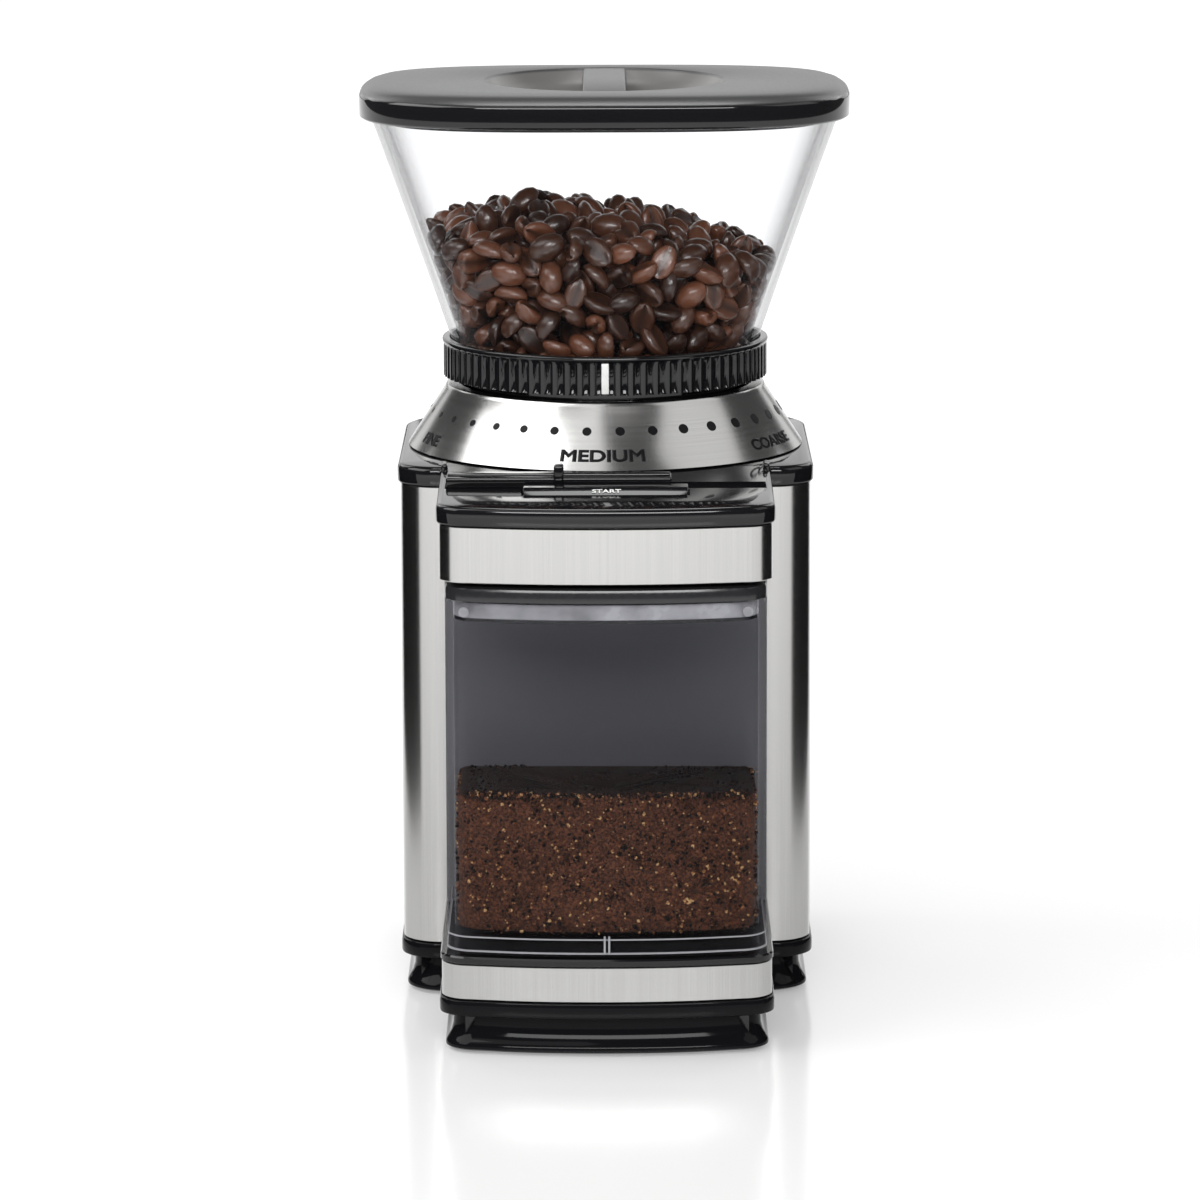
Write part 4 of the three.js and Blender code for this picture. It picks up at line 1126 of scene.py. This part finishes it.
def make_grounds():
    """Ground coffee that falls a little to the back, with loose crumbs on it and against the walls; its top
    and the crumbs on it are painted darker as painted shade under the head.
    """
    settings = bpy.context.scene.grinder_sizes
    random.seed(23)
    floor = CHAMBER_LOW.z + 6.5 * MM
    top = floor + settings.grounds_depth
    rows = 12
    sides = [(-3.3 * MM, floor + 0.2 * MM)]
    sides += [(-3.1 * MM, floor + (top - floor) * i / rows) for i in range(1, rows + 1)]
    surface = [(-grow * MM, top + 0.4 * MM) for grow in (4, 6, 8.5, 11.5, 15, 19, 23, 27)]
    bm = outline_loft(chamber_plan, sides + surface)
    tone = bm.verts.layers.float.new("tone")
    for vert in bm.verts:
        painted_shade_top = vert.co.z > top + 0.2 * MM
        vert.co.z -= fall_back(vert.co.y) * (vert.co.z - floor) / (top - floor)
        if vert.co.z > top - 6 * MM:
            vert.co.z += 2.2 * MM * noise.noise(vert.co * 60) + 0.7 * MM * noise.noise(vert.co * 420)
        # painted shade: the top surface gets tone 0.1 against 0.4 on the front, standing in for the shade
        # under the head
        vert[tone] = 0.1 if painted_shade_top else 0.4
    low, high = chamber_inside()
    for _ in range(settings.crumb_count):
        add_crumb(bm, tone, low, high, floor, top)
    bmesh.ops.recalc_face_normals(bm, faces=bm.faces)
    mesh = as_mesh(bm, "ground_coffee")
    add_mesh(mesh, "ground_coffee", "chamber", PAINT["grounds"], sharp=180)


def chamber_inside():
    """Corners of the box that the crumbs lie against."""
    margin = 3.2 * MM
    return (
        Vector((CHAMBER_LOW.x + margin, CHAMBER_LOW.y + margin, 0)),
        Vector((CHAMBER_HIGH.x - margin, CHAMBER_HIGH.y - margin, 0)),
    )


def fall_back(y):
    """How far the top of the grounds has dropped at y, from the front to the back."""
    return 5 * MM * max(0.0, (y - CHAMBER_LOW.y) / (CHAMBER_HIGH.y - CHAMBER_LOW.y))


def front_line(x):
    """Y of the bow that the front crumbs lie on at x; it has no rounded corners."""
    share = abs(x) / CHAMBER_HIGH.x
    return CHAMBER_LOW.y + 3.0 * MM + (BOW - 1 * MM) * share * share


def add_crumb(bm, tone, low, high, floor, top):
    """One crumb on the front, its top edge, a side, the back or the top."""
    size = random.uniform(0.2, 0.6) * MM
    place = random.random()
    x = random.uniform(low.x + 2 * MM, high.x - 2 * MM)
    y = random.uniform(low.y + BOW, high.y - 3 * MM)
    z = random.uniform(floor, top)
    brightest = 0.95
    if place < 0.42:
        spot = Vector((x, front_line(x), z))
    elif place < 0.54:
        spot = Vector((x, front_line(x) + random.uniform(0, 2.5) * MM, top + random.uniform(-0.4, 1.1) * MM))
    elif place < 0.78:
        spot = Vector((random.choice((low.x, high.x)), y, min(z, top - fall_back(y))))
    elif place < 0.84:
        spot = Vector((x, high.y, z - 5 * MM))
    else:
        lump = 2.2 * MM * noise.noise(Vector((x, y, top)) * 60)
        spot = Vector((x, y, top + 0.4 * MM - fall_back(y) + lump))
        # painted shade: crumbs on the top stay dark, standing in for the shade under the head
        brightest = 0.2
    if random.random() < LARGE_CRUMBS:
        size *= 2.2
    made = bmesh.ops.create_icosphere(bm, subdivisions=1, radius=size, matrix=Matrix.Translation(spot))
    shade = random.random() ** 2 * brightest
    for vert in made["verts"]:
        vert.co += Vector([random.uniform(-0.4, 0.4) * size for _ in range(3)])
        vert[tone] = shade


# ---- pieces kept from the frame ----
KEPT = {
    "satin_black": [
        "base_plate", "cord_gland", "head_floor", "slide_control", "start_switch", "cooling_fan",
        "burr_housing", "burr_carrier", "adjust_ring", "hopper_switch", "chamber_switch",
    ],
    "wall_grey": ["front_wall"],
    "burr_steel": [
        "motor_shaft", "lower_bearing", "upper_bearing", "lower_burr", "upper_burr", "carrier_bail",
        "button_spring",
    ],
    "screw_steel": ["base_screw_1", "base_screw_2", "base_screw_3", "base_screw_4"],
    "cast": ["motor_can", "motor_mount", "impeller"],
    "copper": ["motor_rotor"],
    "rubber": ["foot_front_left", "foot_front_right", "foot_rear_left", "foot_rear_right"],
    "board": ["circuit_board"],
}


def finish_kept_nodes():
    """Gives the CAD nodes that stay visible their finishes."""
    for paint, names in KEPT.items():
        for name in names:
            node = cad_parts[name]
            node.data.materials.clear()
            node.data.materials.append(PAINT[paint])


# ---- studio ----
def make_floor():
    """Wide white light table with a slight gloss; its glow is painted stronger away from the grinder, as
    painted light where the lamps fall off.
    """
    bm = bmesh.new()
    bmesh.ops.create_circle(bm, cap_ends=True, segments=64, radius=12)
    mesh = as_mesh(bm, "studio_floor")
    finish = Finish(
        "studio_white", Base_Color=(0.7, 0.7, 0.7, 1), Specular_IOR_Level=0.5, Emission_Strength=1.0,
    )
    spread = finish.node("VectorMath", {"operation": "LENGTH"}, {0: finish.place()})
    far = Value(finish, spread.outputs["Value"]).clamped(0.3, 1.6)
    # painted light: the floor's glow rises from 0.3 near the grinder to full from 1.6 m out, making up for
    # the lamps' fall-off
    finish.set("Emission Color", finish.blend(far, (0.3, 0.3, 0.3, 1), (1, 1, 1, 1)))
    finish.set("Roughness", finish.noise(2, 2) * 0.05 + 0.12)
    mesh.materials.append(finish.material)
    floor = bpy.data.objects.new("studio_floor", mesh)
    link(floor)


def add_flag(name, low, high):
    """Black card that only reflections see."""
    mesh = as_mesh(box(low, high), name)
    finish = Finish(name, Base_Color=(0.01, 0.01, 0.01, 1), Specular_IOR_Level=0.0)
    finish.set("Roughness", finish.noise(5, 2) * 0.1 + 0.85)
    mesh.materials.append(finish.material)
    flag = bpy.data.objects.new(name, mesh)
    flag.visible_camera = False
    flag.visible_shadow = False
    flag.visible_diffuse = False
    link(flag)


def add_light(name, place, target, size, power):
    data = bpy.data.lights.new(name, "AREA")
    data.shape = "RECTANGLE"
    data.size, data.size_y = size
    data.energy = power
    light = bpy.data.objects.new(name, data)
    light.location = place
    light.rotation_euler = (Vector(target) - Vector(place)).to_track_quat("-Z", "Y").to_euler()
    link(light)


def make_lights():
    """Cards and soft boxes; the black flags darken the steel's side edges."""
    centre = (0, 0, 0.17)
    add_light("key_left", (-1.1, -0.34, 1.27), centre, (1.6, 0.9), 15)
    add_light("card_front_left", (-0.31, -0.9, 1.28), centre, (0.62, 0.6), 1.3)
    add_light("card_right", (1.1, -0.34, 1.1), centre, (1.2, 0.8), 2.6)
    add_light("front_soft", (0, -1.9, 0.95), centre, (1.6, 0.5), 27)
    add_light("overhead", (0, 0.05, 1.0), centre, (0.4, 0.35), 2.4)
    add_light("rear_left", (-1.2, 1.6, 1.4), centre, (1.0, 1.0), 5)
    add_light("rear_right", (1.2, 1.6, 1.4), centre, (1.0, 1.0), 5)
    add_light("rear_wall", (0, 2.9, 0.95), (0, 0, 0.25), (4.0, 1.3), 15)
    add_flag("flag_left", (-0.31, -0.14, -0.01), (-0.30, 0.35, 0.19))
    add_flag("flag_right", (0.30, -0.14, -0.01), (0.31, 0.35, 0.19))
    world = bpy.data.worlds.new("studio")
    bpy.context.scene.world = world
    world.use_nodes = True
    background = world.node_tree.nodes["Background"]
    background.inputs["Color"].default_value = (1, 1, 1, 1)
    background.inputs["Strength"].default_value = 0.07


def make_camera():
    """Long lens in front, level with the viewer's eye over a worktop."""
    data = bpy.data.cameras.new("camera")
    data.lens = 186.9
    data.sensor_width = 36
    data.clip_start = 0.05
    data.clip_end = 20
    camera = bpy.data.objects.new("camera", data)
    camera.location = (0, BURR_Y - 1.883, 0.455)
    tilt = Matrix.Rotation(math.radians(90 - 10.3), 4, "X")
    turn = Matrix.Rotation(math.radians(0.055), 4, "Z")
    roll = Matrix.Rotation(math.radians(-0.19), 4, "Z")
    camera.rotation_euler = (turn @ tilt @ roll).to_euler()
    link(camera)
    bpy.context.scene.camera = camera


# ---- add-on ----
class GrinderSizes(bpy.types.PropertyGroup):
    bean_count: IntProperty(name="Beans", description="Coffee beans in the hopper", default=600, min=0)
    bean_radius: FloatProperty(
        name="Bean spacing", description="Half the space that one bean takes", default=0.0039, unit="LENGTH")
    grounds_depth: FloatProperty(
        name="Grounds depth", description="Depth of ground coffee in the chamber", default=0.0402,
        unit="LENGTH")
    crumb_count: IntProperty(
        name="Crumbs", description="Loose crumbs on the ground coffee", default=4000, min=0)


class GrinderColours(bpy.types.PropertyGroup):
    gloss_black: FloatVectorProperty(
        name="Gloss black", description="Polished black mouldings", subtype="COLOR",
        default=(0.006, 0.006, 0.007))
    satin_black: FloatVectorProperty(
        name="Satin black", description="Inner black mouldings", subtype="COLOR",
        default=(0.012, 0.012, 0.013))
    wall_grey: FloatVectorProperty(
        name="Wall grey", description="Wall behind the chamber", subtype="COLOR",
        default=(0.12, 0.12, 0.128))
    steel: FloatVectorProperty(
        name="Steel", description="Brushed steel", subtype="COLOR", default=(0.57, 0.565, 0.555))
    bean: FloatVectorProperty(
        name="Bean", description="Roasted coffee bean", subtype="COLOR", default=(0.072, 0.026, 0.013))
    grounds: FloatVectorProperty(
        name="Grounds", description="Ground coffee", subtype="COLOR", default=(0.085, 0.03, 0.014))


class GRINDER_OT_finishes(bpy.types.Operator):
    """Make the materials and put them on the pieces that stay from the frame"""
    bl_idname = "grinder.finishes"
    bl_label = "Finishes"

    def execute(self, context):
        PAINT.update(paint_materials())
        finish_kept_nodes()
        return {"FINISHED"}


class GRINDER_OT_housing(bpy.types.Operator):
    """Make the base, platform, steel wrap, head panel and deck"""
    bl_idname = "grinder.housing"
    bl_label = "Housing"

    def execute(self, context):
        make_base()
        make_gussets()
        make_platform()
        make_shell()
        make_head()
        make_deck()
        make_fins()
        return {"FINISHED"}


class GRINDER_OT_controls(bpy.types.Operator):
    """Make the amount slider, the start button and the dial ring"""
    bl_idname = "grinder.controls"
    bl_label = "Controls"

    def execute(self, context):
        make_slider()
        make_button()
        make_dial()
        return {"FINISHED"}


class GRINDER_OT_hopper(bpy.types.Operator):
    """Make the collar, hopper and lid"""
    bl_idname = "grinder.hopper"
    bl_label = "Hopper"

    def execute(self, context):
        make_collar()
        make_hopper()
        make_lid()
        return {"FINISHED"}


class GRINDER_OT_chamber(bpy.types.Operator):
    """Make the ground coffee chamber and its lid"""
    bl_idname = "grinder.chamber"
    bl_label = "Chamber"

    def execute(self, context):
        make_chamber()
        return {"FINISHED"}


class GRINDER_OT_coffee(bpy.types.Operator):
    """Fill the hopper with beans and the chamber with ground coffee"""
    bl_idname = "grinder.coffee"
    bl_label = "Coffee"

    def execute(self, context):
        make_beans()
        make_grounds()
        return {"FINISHED"}


class GRINDER_OT_stage(bpy.types.Operator):
    """Make the floor, lights and camera"""
    bl_idname = "grinder.stage"
    bl_label = "Studio"

    def execute(self, context):
        make_floor()
        make_lights()
        make_camera()
        context.scene.view_settings.view_transform = "Standard"
        return {"FINISHED"}


OPERATORS = (
    GRINDER_OT_stage, GRINDER_OT_finishes, GRINDER_OT_housing, GRINDER_OT_controls, GRINDER_OT_hopper,
    GRINDER_OT_chamber, GRINDER_OT_coffee,
)


class GRINDER_PT_panel(bpy.types.Panel):
    bl_label = "Burr Coffee Grinder"
    bl_space_type = "VIEW_3D"
    bl_region_type = "UI"
    bl_category = "Grinder"

    def draw(self, context):
        for operator in OPERATORS:
            self.layout.operator(operator.bl_idname)
        for group in (context.scene.grinder_sizes, context.scene.grinder_colours):
            for key in group.__annotations__:
                self.layout.prop(group, key)


CLASSES = (GrinderSizes, GrinderColours, *OPERATORS, GRINDER_PT_panel)


def register():
    for cls in CLASSES:
        bpy.utils.register_class(cls)
    bpy.types.Scene.grinder_sizes = PointerProperty(type=GrinderSizes)
    bpy.types.Scene.grinder_colours = PointerProperty(type=GrinderColours)


def unregister():
    del bpy.types.Scene.grinder_colours
    del bpy.types.Scene.grinder_sizes
    for cls in reversed(CLASSES):
        bpy.utils.unregister_class(cls)


def main():
    register()
    for operator in OPERATORS:
        group, name = operator.bl_idname.split(".")
        getattr(getattr(bpy.ops, group), name)()


if __name__ == "__main__":
    main()
